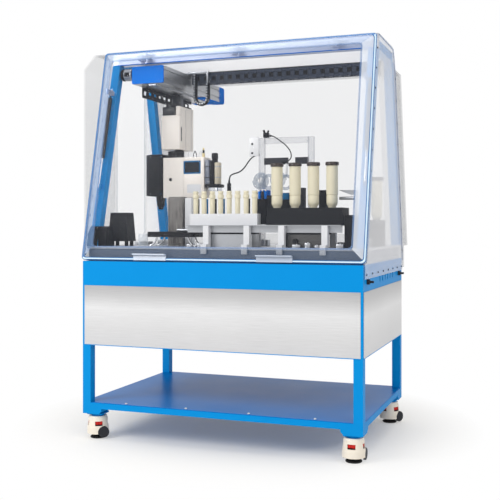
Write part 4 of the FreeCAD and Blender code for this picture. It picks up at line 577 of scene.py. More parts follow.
def middleOf(faces):
    # the middle of some faces' box, in millimetres right, back and up
    points = [vert.co for face in faces for vert in face.verts]
    low = [min(point[i] for point in points) for i in range(3)]
    high = [max(point[i] for point in points) for i in range(3)]
    return (
        ((low[0] + high[0]) / 2 - middleX) * 1000,
        ((low[1] + high[1]) / 2 - frontY) * 1000,
        (low[2] + high[2]) * 500,
    )


def splitPiece(name, nodeName, looks, choose=None, move=None):
    # a node's own mesh, with a finish for each of its solids
    shape = mergedCopy(nodeName)
    if choose:
        for group in islands(shape):
            look = choose(*middleOf(group))
            for face in group:
                face.material_index = look
    if move:
        move(shape)
    return closeShape(shape, name, bodyOf[nodeName], looks, [nodeName])


def span(nodeName):
    # a node's box as (x, depth, z) pairs in millimetres
    low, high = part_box(nodeName)
    return (
        ((low.x - middleX) * 1000, (high.x - middleX) * 1000),
        ((low.y - frontY) * 1000, (high.y - frontY) * 1000),
        (low.z * 1000, high.z * 1000),
    )


# geometry node trees for what repeats
def newTree(name, inputs):
    tree = bpy.data.node_groups.new(name, "GeometryNodeTree")
    tree.interface.new_socket("Geometry", in_out="INPUT", socket_type="NodeSocketGeometry")
    for label, kind in inputs:
        tree.interface.new_socket(label, in_out="INPUT", socket_type=kind)
    tree.interface.new_socket("Geometry", in_out="OUTPUT", socket_type="NodeSocketGeometry")
    return tree, tree.nodes.new("NodeGroupInput"), tree.nodes.new("NodeGroupOutput")


def endTree(tree, come, go, geometry):
    real = put(tree, "GeometryNodeRealizeInstances", Geometry=geometry)
    dressed = put(
        tree, "GeometryNodeSetMaterial", Geometry=real.outputs["Geometry"], Material=come.outputs["Material"]
    )
    tree.links.new(dressed.outputs["Geometry"], go.inputs["Geometry"])


def screwTree():
    # a low cone on each vertex of the input, standing along its "facing"
    tree, come, go = newTree(
        "screwHeads",
        [("Radius", "NodeSocketFloat"), ("Height", "NodeSocketFloat"), ("Sides", "NodeSocketInt"),
         ("Material", "NodeSocketMaterial")],
    )
    top = mathNode(tree, "MULTIPLY", come.outputs["Radius"], 0.78)
    head = put(
        tree, "GeometryNodeMeshCone", Vertices=come.outputs["Sides"], Radius_Top=top,
        Radius_Bottom=come.outputs["Radius"], Depth=come.outputs["Height"],
    )
    facing = put(tree, "GeometryNodeInputNamedAttribute", data_type="FLOAT_VECTOR", Name="facing")
    turn = put(tree, "FunctionNodeAlignRotationToVector", axis="Z")
    tree.links.new(facing.outputs["Attribute"], turn.inputs["Vector"])
    rows = put(tree, "GeometryNodeInstanceOnPoints", Points=come.outputs["Geometry"])
    tree.links.new(head.outputs["Mesh"], rows.inputs["Instance"])
    tree.links.new(turn.outputs["Rotation"], rows.inputs["Rotation"])
    endTree(tree, come, go, rows.outputs["Instances"])
    return tree


def rowTree():
    # copies of one shape, a step apart
    tree, come, go = newTree(
        "repeatInRow",
        [("Shape", "NodeSocketObject"), ("Count", "NodeSocketInt"), ("Step", "NodeSocketVector"),
         ("Material", "NodeSocketMaterial")],
    )
    line = put(tree, "GeometryNodeMeshLine", Count=come.outputs["Count"], Offset=come.outputs["Step"])
    shape = put(tree, "GeometryNodeObjectInfo", Object=come.outputs["Shape"])
    rows = put(
        tree, "GeometryNodeInstanceOnPoints", Points=line.outputs["Mesh"], Instance=shape.outputs["Geometry"]
    )
    endTree(tree, come, go, rows.outputs["Instances"])
    return tree


def woundTree():
    # a flat spiral of tube
    tree, come, go = newTree(
        "woundTube",
        [(label, "NodeSocketFloat") for label in ("Turns", "Inner Radius", "Outer Radius", "Rise", "Wire")]
        + [("Material", "NodeSocketMaterial")],
    )
    spiral = put(
        tree, "GeometryNodeCurveSpiral", Resolution=28, Rotations=come.outputs["Turns"],
        Start_Radius=come.outputs["Inner Radius"], End_Radius=come.outputs["Outer Radius"],
        Height=come.outputs["Rise"],
    )
    ring = put(tree, "GeometryNodeCurvePrimitiveCircle", Resolution=8, Radius=come.outputs["Wire"])
    tube = put(tree, "GeometryNodeCurveToMesh", Curve=spiral.outputs["Curve"])
    tree.links.new(ring.outputs["Curve"], tube.inputs["Profile Curve"])
    tube.inputs["Fill Caps"].default_value = True
    endTree(tree, come, go, tube.outputs["Mesh"])
    return tree


trees = {"screwHeads": screwTree(), "repeatInRow": rowTree(), "woundTube": woundTree()}


def bake(name, treeName, values, start=None):
    # a plain mesh from a geometry node tree
    tree = trees[treeName]
    holder = bpy.data.objects.new(name + "Start", start or bpy.data.meshes.new(name + "Start"))
    bpy.context.scene.collection.objects.link(holder)
    modifier = holder.modifiers.new("shape", "NODES")
    modifier.node_group = tree
    for socket in tree.interface.items_tree:
        if socket.in_out == "INPUT" and socket.name in values:
            modifier[socket.identifier] = values[socket.name]
    view = bpy.context.evaluated_depsgraph_get()
    view.update()
    mesh = bpy.data.meshes.new_from_object(holder.evaluated_get(view))
    mesh.name = name
    holder.modifiers.remove(modifier)
    bpy.data.objects.remove(holder)
    return mesh


def pointsMesh(name, points):
    # vertices at (x, depth, z, facing) places
    mesh = bpy.data.meshes.new(name)
    mesh.from_pydata([spot(*point[:3]) for point in points], [], [])
    facing = mesh.attributes.new("facing", "FLOAT_VECTOR", "POINT")
    facing.data.foreach_set("vector", [value for point in points for value in point[3]])
    return mesh


def addScrews(name, points, radius, height, look, body="base", sides=12):
    values = {"Radius": radius / 1000, "Height": height / 1000, "Sides": sides, "Material": materials[look]}
    mesh = bake(name, "screwHeads", values, pointsMesh(name + "Points", points))
    for face in mesh.polygons:
        face.use_smooth = False
    return addPiece(name, mesh, body, [look])


def rowMesh(name, shape, count, step, look):
    # the mesh of a row of one bmesh shape; step in millimetres
    mesh = bpy.data.meshes.new(name + "Shape")
    bmesh.ops.recalc_face_normals(shape, faces=shape.faces)
    shadeShape(shape, 35)
    shape.to_mesh(mesh)
    shape.free()
    model = bpy.data.objects.new(name + "Shape", mesh)
    bpy.context.scene.collection.objects.link(model)
    metres = [value / 1000 for value in step]
    values = {"Shape": model, "Count": count, "Step": metres, "Material": materials[look]}
    row = bake(name, "repeatInRow", values)
    bpy.data.objects.remove(model)
    return row


print("tools ready")


def floorMaterial():
    # pale near the object, for the shadow, and as bright as the backdrop from about a metre out
    material, tree, shader, place = startMaterial("paleFloor")
    seen = whiteRays(tree, tree.nodes.new("ShaderNodeLightPath"))
    tone = useGroup(tree, "handledTone", Vector=place, Color=(0.94, 0.91, 0.86, 1), Amount=0.01, Scale=0.6)
    feed(tree, shader, Base_Color=tone.outputs["Color"], Roughness=0.7)
    far = put(tree, "ShaderNodeVectorMath", operation="LENGTH")
    tree.links.new(place, far.inputs[0])
    fade = put(
        tree, "ShaderNodeMapRange", Value=far.outputs["Value"], From_Min=0.6, From_Max=1.15, To_Min=0.12,
        To_Max=1.0,
    )
    glow = put(tree, "ShaderNodeEmission", Strength=1.0)
    mixer = tree.nodes.new("ShaderNodeMixShader")
    tree.links.new(mathNode(tree, "MULTIPLY", seen, fade.outputs["Result"]), mixer.inputs["Fac"])
    tree.links.new(shader.outputs["BSDF"], mixer.inputs[1])
    tree.links.new(glow.outputs["Emission"], mixer.inputs[2])
    tree.links.new(mixer.outputs["Shader"], tree.nodes["Material Output"].inputs["Surface"])
    return material


def buildFloor():
    mesh = bpy.data.meshes.new("floor")
    r = 14.0
    mesh.from_pydata([(-r, -r, 0), (r, -r, 0), (r, r, 0), (-r, r, 0)], [], [(0, 1, 2, 3)])
    floor = bpy.data.objects.new("floor", mesh)
    bpy.context.scene.collection.objects.link(floor)
    mesh.materials.append(floorMaterial())


buildFloor()

# the two cables, through the same points as their solids
cables = {
    "shortCable": {
        "node": "short_cable",
        "radius": 3.0,
        "length": 0.2555,
        "route": [
            (96.6, 303, 1297), (70, 292, 1290), (56, 270, 1264), (48, 240, 1234), (38, 204, 1212),
            (24, 168, 1204), (14.6, 135, 1191), (14.6, 135, 1159),
        ],
    },
    "sensorCable": {
        "node": "sensor_cable",
        "radius": 2.5,
        "length": 0.2249,
        "route": [
            (149.4, 303, 1382), (174, 287, 1378), (202, 274, 1358), (234, 271, 1336), (258, 272, 1306),
            (262, 273, 1278), (244, 277, 1260), (216, 291.5, 1259),
        ],
    },
}
# collars where the cables go in: from, to, radius there and at the tip
collars = [
    ((99, 303.6, 1298), (86, 298.5, 1294.5), 5.2, 3.9), ((14.6, 135, 1159), (14.6, 135, 1173), 5.2, 3.9),
    ((148.6, 303, 1382), (161, 295.6, 1380), 4.8, 3.4),
    ((212.5, 293.5, 1259), (226, 286.4, 1259.4), 4.8, 3.4),
]


def buildCables():
    for name, cable in cables.items():
        line = bpy.data.curves.new(name, "CURVE")
        line.dimensions = "3D"
        spline = line.splines.new("NURBS")
        spline.points.add(len(cable["route"]) - 1)
        for point, place in zip(spline.points, cable["route"]):
            point.co = (*spot(*place), 1.0)
        spline.order_u = 3
        spline.use_endpoint_u = True
        spline.resolution_u = 12
        line.bevel_depth = cable["radius"] / 1000
        line.bevel_resolution = 3
        line.use_fill_caps = True
        line.materials.append(materials["blackRubber"])
        item = bpy.data.objects.new(name, line)
        bpy.context.scene.collection.objects.link(item)
        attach(item, "base")
        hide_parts(cable["node"])
    shape = bmesh.new()
    for start, end, radius, tip in collars:
        bar(shape, start, end, radius, tip=tip, sides=16, round=0.6)
    closeShape(shape, "cableCollars", "base", ["blackRubber"])


buildCables()
print("cables built")

# the clear door: a tray whose pane stands forward of its rim, with sloping walls whose colours, one for each
# side, are painted light and shade
door = {
    "halfWidth": 661.0,
    "low": (2.0, 817.0),
    "high": (222.0, 1799.0),
    "behind": (24.0, 50.0),
    "topFrom": 0.955,
    "topBehind": 6.0,
    "forward": (14.0, 34.0),
    "corner": 16.0,
    "cornerSteps": 4,
    "thick": 4.5,
    "rimWidth": 6.5,
    # blocks between the fittings and the tray: their middles, half width, depth and height
    "carriers": [((-619, 619), 3, (160, 204), (1595, 1618)), ((-470, 0, 470), 13, (216, 254), (1752, 1776))],
    # inset from the outer edge, share of the way forward, and the strip that starts there
    "profile": [
        (0, -1.0, "flange"), (0, -0.1, "edge"), (2.5, 0.03, "bright"), (8, 0.12, "edge"), (11, 0.18, "wall"),
        (53, 0.94, "inner"), (60, 1.0, "pane"),
    ],
}


def doorRing(inset, share, back):
    # one ring of the tray as (point, side) pairs
    low, high = Vector(door["low"]), Vector(door["high"])
    along = high - low
    length = along.length
    along /= length
    forward = Vector((-along.y, along.x))
    across = door["halfWidth"] - inset
    r = door["corner"]
    top = length - inset
    corners = [(across, inset, 3), (across, top, 0), (-across, top, 1), (-across, inset, 2)]
    ring = []
    for x, t, quarter in corners:
        middle = (x - math.copysign(r, x), t + (r if t < length / 2 else -r))
        for step in range(door["cornerSteps"] + 1):
            angle = math.pi / 2 * (quarter + step / door["cornerSteps"])
            px = middle[0] + r * math.cos(angle)
            pt = middle[1] + r * math.sin(angle)
            up = pt / length
            reach = door["forward"] if share > 0 else door["behind"]
            out = share * (reach[0] + (reach[1] - reach[0]) * up) - back
            if share < 0 and up > door["topFrom"]:
                out = share * door["topBehind"]
            place = low + along * pt + forward * out
            ring.append((spot(px, place.x, place.y), px, pt))
    return ring, length


def sideOf(px, pt, length):
    gaps = {
        "right": door["halfWidth"] - px, "left": door["halfWidth"] + px, "bottom": pt, "top": length - pt,
    }
    return min(gaps, key=gaps.get)


def stripLook(strip, side):
    # each side's wall gets its own colour as painted light and shade, and the bright strip on the right and
    # bottom gets a painted highlight
    if strip == "wall":
        return side + "Wall"
    if strip == "bright" and side in ("right", "bottom"):
        return "rimBright"
    return {"flange": "flangeSheet", "inner": "innerLine"}.get(strip, "rimBlue")


def buildDoor():
    looks = [
        "clearSheet", "flangeSheet", "rimBlue", "rimBright", "rightWall", "leftWall", "topWall", "bottomWall",
        "innerLine",
    ]
    shape = bmesh.new()
    edges = []
    for inner in (0, 1):
        rings = []
        for inset, share, strip in door["profile"]:  # the inner skin lies a sheet's thickness behind
            back = door["thick"] * inner if share > -1 else 0
            extra = inner * (door["thick"] if share < 0.1 else 1.5)
            points, length = doorRing(inset + extra, share, back)
            rings.append([(shape.verts.new(place), px, pt) for place, px, pt in points])
        for k in range(len(rings) - 1):
            strip = door["profile"][k][2]
            for i in range(len(rings[k])):
                j = (i + 1) % len(rings[k])
                a, b, c, d = rings[k][i], rings[k][j], rings[k + 1][j], rings[k + 1][i]
                face = shape.faces.new([a[0], b[0], c[0], d[0]])
                side = sideOf((a[1] + b[1]) / 2, (a[2] + b[2]) / 2, length)
                face.material_index = looks.index(stripLook(strip, side))
        shape.faces.new([corner[0] for corner in rings[-1]]).material_index = 0
        edges.append([corner[0] for corner in rings[0]])
    for i in range(len(edges[0])):
        j = (i + 1) % len(edges[0])
        rim = shape.faces.new([edges[0][i], edges[0][j], edges[1][j], edges[1][i]])
        rim.material_index = looks.index("rimBlue")
    closeShape(shape, "clearDoor", "door", looks, ["hood_door"], sharp=20)

    def carryOut(shape):
        # the lugs and hinge leaves reach out to the tray's wall
        for middles, half, depth, z in door["carriers"]:
            for x in middles:
                block(shape, (x - half, x + half), depth, z, look=1, round=1)

    # handles clear white, hinge leaves and lugs pale
    splitPiece(
        "doorFittings", "hood_fittings", ["clearWhite", "anodised"], lambda x, depth, z: 0 if z < 900 else 1,
        move=carryOut,
    )


# the side windows' rear edges, up, over and forward, as (depth, z) places
windowEdge = {"x": 656.2, "route": [(856, 800), (657.62, 1710), (610, 1800), (292, 1806)], "radius": 2.6}


def buildSheets():
    # the fixed clear sheets, with their sawn rims picked out
    for nodeName, name, look, rim in (
        ("side_windows", "sideWindows", "sideSheet", "flangeSheet"),
        ("back_cover", "backCover", "backSheet", "greyRim"),
        ("left_bay", "leftBay", "hazySheet", "greyRim"), ("rear_bay", "rearBay", "hazySheet", "greyRim"),
    ):
        shape = mergedCopy(nodeName)
        for face in shape.faces:
            if stripWidth(face) < door["rimWidth"]:
                face.material_index = 1
        closeShape(shape, name, "base", [look, rim], [nodeName])
    shape = bmesh.new()
    route = windowEdge["route"]
    for x in (-windowEdge["x"], windowEdge["x"]):
        for start, end in zip(route, route[1:]):
            bar(shape, (x, *start), (x, *end), windowEdge["radius"], sides=8)
    closeShape(shape, "windowEdges", "base", ["innerLine"])


buildDoor()
buildSheets()
print("clear sheets built")


# the screws; rows are (depth, z) of the first, of the last, and how many
screws = {
    "windowX": 656.0,
    "windowRows": [
        ((33, 840), (33 + 900 * 0.2466, 1740), 11), ((846, 850), (846 - 820 * 0.218, 1670), 9),
        ((40, 770), (830, 770), 8),
    ],
    "shelfRow": ((-435, 14, 169.8), (445, 14, 169.8), 4),
}


def alongLine(first, last, count, facing):
    out = []
    for i in range(count):
        share = i / (count - 1)
        out.append((*[a + (b - a) * share for a, b in zip(first, last)], facing))
    return out


def buildScrews():
    points = []
    for side in (-1, 1):
        x = screws["windowX"] * side
        for first, last, count in screws["windowRows"]:
            points += alongLine((x, *first), (x, *last), count, (side, 0, 0))
    addScrews("windowScrews", points, 4.4, 2.6, "darkGrey", sides=14)
    addScrews("shelfScrews", alongLine(*screws["shelfRow"], (0, 0, 1)), 6, 4, "whitePlastic", sides=16)


buildScrews()
print("screws built")

# cable chains of open links; travel is how far the arm goes, plate and web are shares of a link
chains = {
    "travel": 700.0,
    "plate": 0.3,
    "coreGaps": (2, 8, 12),
    "crossChain": {"node": "x_chain", "axis": 0, "pitch": 44.0, "web": 0.5, "wall": 3.0, "look": "slate"},
    "armChain": {
        "node": "y_chain", "axis": 1, "pitch": 54.0, "web": 0.36, "wall": 2.4, "look": "blackPlastic",
    },
}


def linkShape(x, depth, z, axis, web, wall):
    # one link: two side plates with a window each, and a bar above and below
    shape = bmesh.new()
    along = (x, depth)[axis]
    length = along[1] - along[0]
    height = z[1] - z[0]
    across = (depth, x)[axis]

    def part(run, side, rise):
        place = (run, side) if axis == 0 else (side, run)
        block(shape, place[0], place[1], rise, round=0.8, steps=1)

    plate = height * chains["plate"]
    for side in ((across[0], across[0] + wall), (across[1] - wall, across[1])):
        part((along[0] + 0.5, along[1] - 0.5), side, (z[0], z[0] + plate))
        part((along[0] + 0.5, along[1] - 0.5), side, (z[1] - plate, z[1]))
        part((along[0] + 0.5, along[0] + length * web), side, (z[0] + height * 0.2, z[1] - height * 0.2))
    for low in (z[0] + 1.5, z[1] - 1.5 - wall):
        part((along[0] + length * 0.3, along[0] + length * 0.72), across, (low, low + wall))
    return shape


def buildChains():
    for name in ("crossChain", "armChain"):
        look = chains[name]
        spans = span(look["node"])
        axis = look["axis"]
        length = spans[axis][1] - spans[axis][0]
        count = round(length / look["pitch"])
        pitch = length / count
        first = list(spans)
        first[axis] = (spans[axis][0], spans[axis][0] + pitch)
        shape = linkShape(*first, axis, look["web"], look["wall"])
        step = [0, 0, 0]
        step[axis] = pitch
        mesh = rowMesh(name, shape, count, step, look["look"])
        item = addPiece(name, mesh, bodyOf[look["node"]], [look["look"]], [look["node"]])
        if axis == 0:
            # the cables inside, which close the windows
            shape = bmesh.new()
            block(shape, *[(low + gap, high - gap) for (low, high), gap in zip(spans, chains["coreGaps"])])
            core = closeShape(shape, "chainCables", bodyOf[look["node"]], ["blackRubber"])
            for part in (item, core):
                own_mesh(part)


buildChains()
print("chains built")

# cartridges: where each row starts, its step and count, and outlines as (radius, height) points
cartridges = {
    "smallAt": (-147.03, 135, 974),
    "smallStep": 40.3975,
    "smallCount": 8,
    "largeAt": (226.98, 170, 1048),
    "largeStep": 83.2,
    "largeCount": 4,
    "sideAt": (602, 500, 997),
    "smallBody": [(0, 8), (10.8, 8), (10.8, 60), (11.4, 62), (11.4, 112), (10.6, 114), (10.6, 118), (0, 118)],
    "smallCollar": [
        (10.6, 117.9), (14, 120), (14, 133), (12.8, 135), (10, 136), (10, 141), (12, 142), (12, 149),
        (11, 151), (8.5, 151), (8.5, 139), (0, 139),
    ],
    "largeBody": [
        (0, -20), (16, -20), (16, 0), (17, 6), (22.6, 14), (24, 22), (24, 50), (23, 52), (23, 55), (25, 57),
        (25, 178), (22, 182), (0, 182),
    ],
    "largeCap": [(0, 182.2), (27, 182.2), (29, 184), (29, 193), (27, 197), (10, 198), (8, 196), (0, 196)],
}


def buildCartridges():
    look = cartridges
    for name, kind, outline, finish in (
        ("smallBodies", "small", "smallBody", "cream"), ("smallCollars", "small", "smallCollar", "cream"),
        ("largeBodies", "large", "largeBody", "cream"), ("largeCaps", "large", "largeCap", "darkCap"),
    ):
        shape = bmesh.new()
        lathe(shape, look[kind + "At"], look[outline], sides=24)
        mesh = rowMesh(name, shape, look[kind + "Count"], (look[kind + "Step"], 0, 0), finish)
        addPiece(name, mesh, "base", [finish], ["cartridges"])
    shape = bmesh.new()
    lathe(shape, look["sideAt"], look["largeBody"], sides=24)
    lathe(shape, look["sideAt"], look["largeCap"], look=1, sides=24)
    closeShape(shape, "sideCartridge", "base", ["cream", "darkCap"], ["cartridges"])


buildCartridges()
print("cartridges built")

# the robot's head: housing, motor, display box, dispenser and gripper
head = {
    "x": (-480, -380), "depth": (465, 633), "z": (1351, 1566), "notch": (502, 1521), "seam": 0.2,
    "slot": ((480, 491), (1393, 1462)), "slideTop": 1647,
    "motorX": (-476, -404), "motorDepth": (466, 501), "motorZ": (1521.5, 1564),
    "coilAt": (-430, 530, 1313.6), "coilRadius": 37.5, "coilTurns": 4.2, "coilRise": 33.5, "coilWire": 4.3,
}
box = {
    "x": (-470, -249), "depth": (465, 560), "z": (1109, 1309),
    "screenX": (-360, -268), "screenZ": (1227, 1291), "frame": 6.0,
    "button": (-430, 1200), "bore": 5.5,
    "ring": [(5.6, 0), (8.4, 0), (8.4, 1.4), (7.4, 2.2), (5.6, 2.2), (5.6, 0)],
    # the fitting's parts: from, to, radius, finish, sides, rounding
    "fittingAt": (-262, 490),
    "fitting": [(1308, 1329, 7, 5, 20, 1), (1329, 1344, 5.4, 4, 6, 0), (1344, 1356, 4.4, 5, 20, 0.6)],
    # bent tubes on top: places, and the bend as (x, z) steps
    "tubes": [(-352, 500), (-326, 508), (-300, 516)],
    "tubeBend": [(0, 1308), (3, 1330), (10, 1343), (17, 1330), (20, 1308)], "tubeRadius": 2.2,
}
dispenser = {
    "x": (-567, -474), "depth": (465, 545), "z": (1118, 1328), "nozzleAt": (-503, 505), "nozzleLength": 66,
    "nozzle": [
        (0, 0), (9, 0), (12, 3), (14, 14), (20, 20), (20, 28), (18.6, 29), (18.6, 31), (20, 32), (20, 44),
        (23, 45), (23, 66), (0, 66),
    ],
}
gripperLook = {
    "at": (-209, 504, 1109), "radius": 39.0, "barrel": 19.0, "bands": (96, 150),
    "knob": [
        (0, 176), (15, 176), (15, 182), (13.6, 183), (13.6, 188), (15, 190), (16, 192), (16, 214), (13, 219),
        (0, 219),
    ],
}


def buildHead():
    shape = bmesh.new()
    x, depth, z = head["x"], head["depth"], head["z"]
    behind, step = head["notch"]
    seam = head["seam"]
    # the housing: a front with a notch for the motor, and the block behind it
    block(shape, x, (depth[0], behind), (z[0], step), round=3)
    block(shape, x, (behind + seam, depth[1]), z, round=3)
    block(shape, (x[1] - 22, x[1]), (depth[0], behind), (step + seam, z[1]), round=3)
    for row in (depth[0] + 72, depth[1] - 30):
        block(shape, (x[1] - 1, x[1] + 0.35), (row, row + 1.6), (z[0] + 4, z[1] - 6), look=1)
    near, rise = head["slot"]
    block(shape, (x[1] - 2, x[1] + 0.4), near, rise, look=1, round=0.3, steps=1)
    # slide up to the arm's rail, behind the chain
    low, back = z[1] - 4, depth[1]
    block(shape, (x[0] + 2, x[0] + 44), (back - 45, back - 2), (low, head["slideTop"]), look=2, round=2)
    block(shape, (x[0] + 6, x[0] + 60), (back - 110, back - 48), (low, z[1] + 9), look=2, round=2)
    closeShape(
        shape, "headHousing", "head", ["palePaint", "darkGrey", "blackGloss"], ["z_head"],
    )
    shape = bmesh.new()
    x, depth, z = head["motorX"], head["motorDepth"], head["motorZ"]
    front = depth[0]
    block(shape, x, depth, z, round=4)
    for row in range(5):
        low = z[0] + 5 + row * 6.6
        block(shape, (x[0] + 3, x[1] - 3), (front - 0.9, front + 2), (low, low + 2.4), round=0.8, steps=1)
    block(shape, (x[1] - 16, x[1] + 2), (front - 5, front + 8), (z[0] + 8, z[0] + 24), round=2)
    stud = (x[0] + 22, front + 16)
    bar(shape, (*stud, z[1] - 1), (*stud, z[1] + 14), 9, sides=20, round=1.5)
    closeShape(shape, "headMotor", "head", ["blackGloss"], ["z_head"])


def coilMesh(name, turns, inner, outer, rise, wire, look):
    # a wound tube, sizes in millimetres
    values = {
        "Turns": turns, "Inner Radius": inner / 1000, "Outer Radius": outer / 1000, "Rise": rise / 1000,
        "Wire": wire / 1000, "Material": materials[look],
    }
    mesh = bake(name, "woundTube", values)
    for face in mesh.polygons:
        face.use_smooth = True
    return mesh


def buildCoil():
    # the coiled cable between the housing and the box
    r = head["coilRadius"]
    mesh = coilMesh("coilTurns", head["coilTurns"], r, r, head["coilRise"], head["coilWire"], "blackRubber")
    mesh.transform(Matrix.Translation(spot(*head["coilAt"])))
    addPiece("coilTurns", mesh, bodyOf["coil_cable"], ["blackRubber"], ["coil_cable"])


def buildBox():
    shape = bmesh.new()
    x, depth, z = box["x"], box["depth"], box["z"]
    x0, x1 = box["screenX"]
    z0, z1 = box["screenZ"]
    front = (depth[0], depth[0] + 14)
    block(shape, x, (depth[0] + 12, depth[1]), z, round=4)
    # strips round the button's bore, then round the screen's recess
    bx, bz = box["button"]
    bore = box["bore"]
    for across, up in (
        ((x[0], bx - bore), z), ((bx + bore, x0), z), ((bx - bore, bx + bore), (z[0], bz - bore)),
        ((bx - bore, bx + bore), (bz + bore, z[1])),
    ):
        block(shape, across, front, up, round=0.3, steps=1)
    for across, up in (((x1, x[1]), z), ((x0 - 4, x1 + 4), (z[0], z0)), ((x0 - 4, x1 + 4), (z1, z[1]))):
        block(shape, across, front, up, round=3)
    # blue surround, dark glass
    rim = box["frame"]
    near = (depth[0] + 0.8, depth[0] + 6)
    for across, up in (
        ((x0, x0 + rim), (z0, z1)), ((x1 - rim, x1), (z0, z1)), ((x0, x1), (z0, z0 + rim)),
        ((x0, x1), (z1 - rim, z1)),
    ):
        block(shape, across, near, up, look=1, round=1)
    lap = rim - 1
    glass = (depth[0] + 2.6, depth[0] + 8)
    block(shape, (x0 + lap, x1 - lap), glass, (z0 + lap, z1 - lap), look=2)
    # a bare plate low on the front, and the case's seam
    plate = (depth[0] - 0.5, depth[0] + 2)
    block(shape, (x0 + 20, x1 + 4), plate, (z[0] + 24, z[0] + 66), look=3, round=0.4, steps=1)
    block(shape, (x[1] - 0.6, x[1] + 0.4), (depth[0] + 40, depth[0] + 42), (z[0] + 6, z[1] - 6), look=4)
    for low, high, radius, look, sides, soft in box["fitting"]:
        place = box["fittingAt"]
        bar(shape, (*place, low), (*place, high), radius, look=look, sides=sides, round=soft)
    bend = box["tubeBend"]
    for k, (at, row) in enumerate(box["tubes"]):
        for a, b in zip(bend, bend[1:]):
            start, end = (at + a[0], row, a[1]), (at + b[0], row, b[1])
            bar(shape, start, end, box["tubeRadius"], look=k % 2 + 3, sides=8)
    closeShape(
        shape, "displayBox", "tool",
        ["palePaint", "screenBlue", "displayGlass", "whitePlastic", "darkGrey", "amber"], ["display_box"],
    )
    # ring round the push button
    shape = bmesh.new()
    lathe(shape, (0, 0, 0), box["ring"], sides=28)
    turn = Matrix.Translation(spot(bx, depth[0] + 0.4, bz)) @ Matrix.Rotation(math.radians(90), 4, "X")
    back = Matrix.Translation(-spot(0, 0, 0))
    bmesh.ops.transform(shape, matrix=turn @ back, verts=shape.verts)
    bmesh.ops.remove_doubles(shape, verts=shape.verts, dist=0.00001)
    closeShape(shape, "buttonRing", "tool", ["darkGrey"])


def buildDispenser():
    shape = bmesh.new()
    x, depth, z = dispenser["x"], dispenser["depth"], dispenser["z"]
    front, back = depth
    block(shape, (x[0] + 17, x[1]), depth, z, round=4)
    block(shape, (x[0], x[0] + 19), (front + 3, back - 3), (z[0] + 2, z[1] - 2), look=1, round=3)
    for rise in (z[0] + 42, z[0] + 128, z[0] + 172):
        block(shape, (x[0] + 22, x[1] - 5), (front - 0.7, front + 2), (rise, rise + 2.5), look=2)
    for side in (x[0] + 27, x[1] - 9):
        for rise in (z[0] + 12, z[1] - 12):
            bar(shape, (side, front + 1, rise), (side, front - 1.6, rise), 3, look=3, sides=6)
    block(shape, (x[1] - 1, x[1] + 5), (front + 13, back - 13), (z[0] + 22, z[1] - 44), round=1)
    lathe(shape, (*dispenser["nozzleAt"], z[0] - dispenser["nozzleLength"]), dispenser["nozzle"], sides=28)
    closeShape(
        shape, "dispenserBody", "tool", ["blackPlastic", "darkGrey", "blackGloss", "chrome"], ["dispenser"],
    )


def buildGripper():
    # upright motor pack: grey block, dark spine, sand barrel, knob, dark plate and silver puck
    shape = bmesh.new()
    x, depth, z = gripperLook["at"]
    r = gripperLook["radius"]
    puck = [(0, 32), (r - 3, 32), (r - 1, 34), (r - 1, 48), (r - 3, 50), (0, 50)]
    lathe(shape, (x, depth, z), puck, look=4, sides=36)
    block(shape, (x - r + 1, x + r - 1), (depth - r + 1, depth + r - 1), (z + 50, z + 66), look=1, round=5)
    block(shape, (x - r + 2, x - 13), (depth - r + 3, depth + r - 3), (z + 66, z + 186), round=5)
    block(shape, (x - 14, x + 9), (depth - r + 6, depth + r - 8), (z + 66, z + 178), look=1, round=3)
    barrel = gripperLook["barrel"]
    core = (x + barrel, depth - 8)
    bar(shape, (*core, z + 66), (*core, z + 172), barrel, look=2, sides=32, round=2)
    wrap = (depth - r + 2.4, depth + r - 2.4)
    for rise in gripperLook["bands"]:
        bar(shape, (*core, z + rise), (*core, z + rise + 5), barrel + 0.5, look=3, sides=32)
        block(shape, (x - r + 1.4, x - 12.4), wrap, (z + rise, z + rise + 4), look=1)
    lathe(shape, (x + 6, depth - 10, z), gripperLook["knob"], look=1, sides=28)
    closeShape(
        shape, "gripperMotor", "tool", ["steelBlue", "blackPlastic", "beige", "aluminium", "chrome"],
        ["gripper"],
    )


buildHead()
buildCoil()
buildBox()
buildDispenser()
buildGripper()
print("head built")

# the arm: motor, cap screws, cable loop at the carriage
arm = {
    "x": (-530, -365), "depth": (256, 1000), "z": (1648, 1730), "motor": (-602, 292, 1701), "motorRadius": 29,
    # the motor's round parts: from, to, change of radius, finish, rounding
    "motorParts": [(0, 14, 0, 1, 4), (13.5, 17, -2, 2, 0), (16.5, 56, -0.5, 0, 1), (55.5, 72, 0, 1, 2)],
    "cap": 9.6, "tail": 10.0, "wrap": 52.0,
    "loop": {"x": -292, "z": 1612, "radius": 34, "left": 118, "right": 70, "links": 22, "depth": (529, 545)},
    "hanger": (1730.5, 1742),
}


def reachBack(shape):
    # the arm reaches a little further into the rear bay than its solid
    end = arm["depth"][1]
    for vert in shape.verts:
        if (vert.co.y - frontY) * 1000 > end - 1:
            vert.co.y += arm["tail"] / 1000


def loopPath(loop):
    # (x, z) places down one side, round the bend and up the other
    middle, r = loop["x"], loop["radius"]
    path = []
    for k in range(loop["links"] + 1):
        run = k / loop["links"] * (loop["left"] + math.pi * r + loop["right"])
        if run < loop["left"]:
            path.append((middle - r, loop["z"] + loop["left"] - run))
        elif run < loop["left"] + math.pi * r:
            angle = math.pi + (run - loop["left"]) / r
            path.append((middle + r * math.cos(angle), loop["z"] + r * math.sin(angle)))
        else:
            path.append((middle + r, loop["z"] + run - loop["left"] - math.pi * r))
    return path


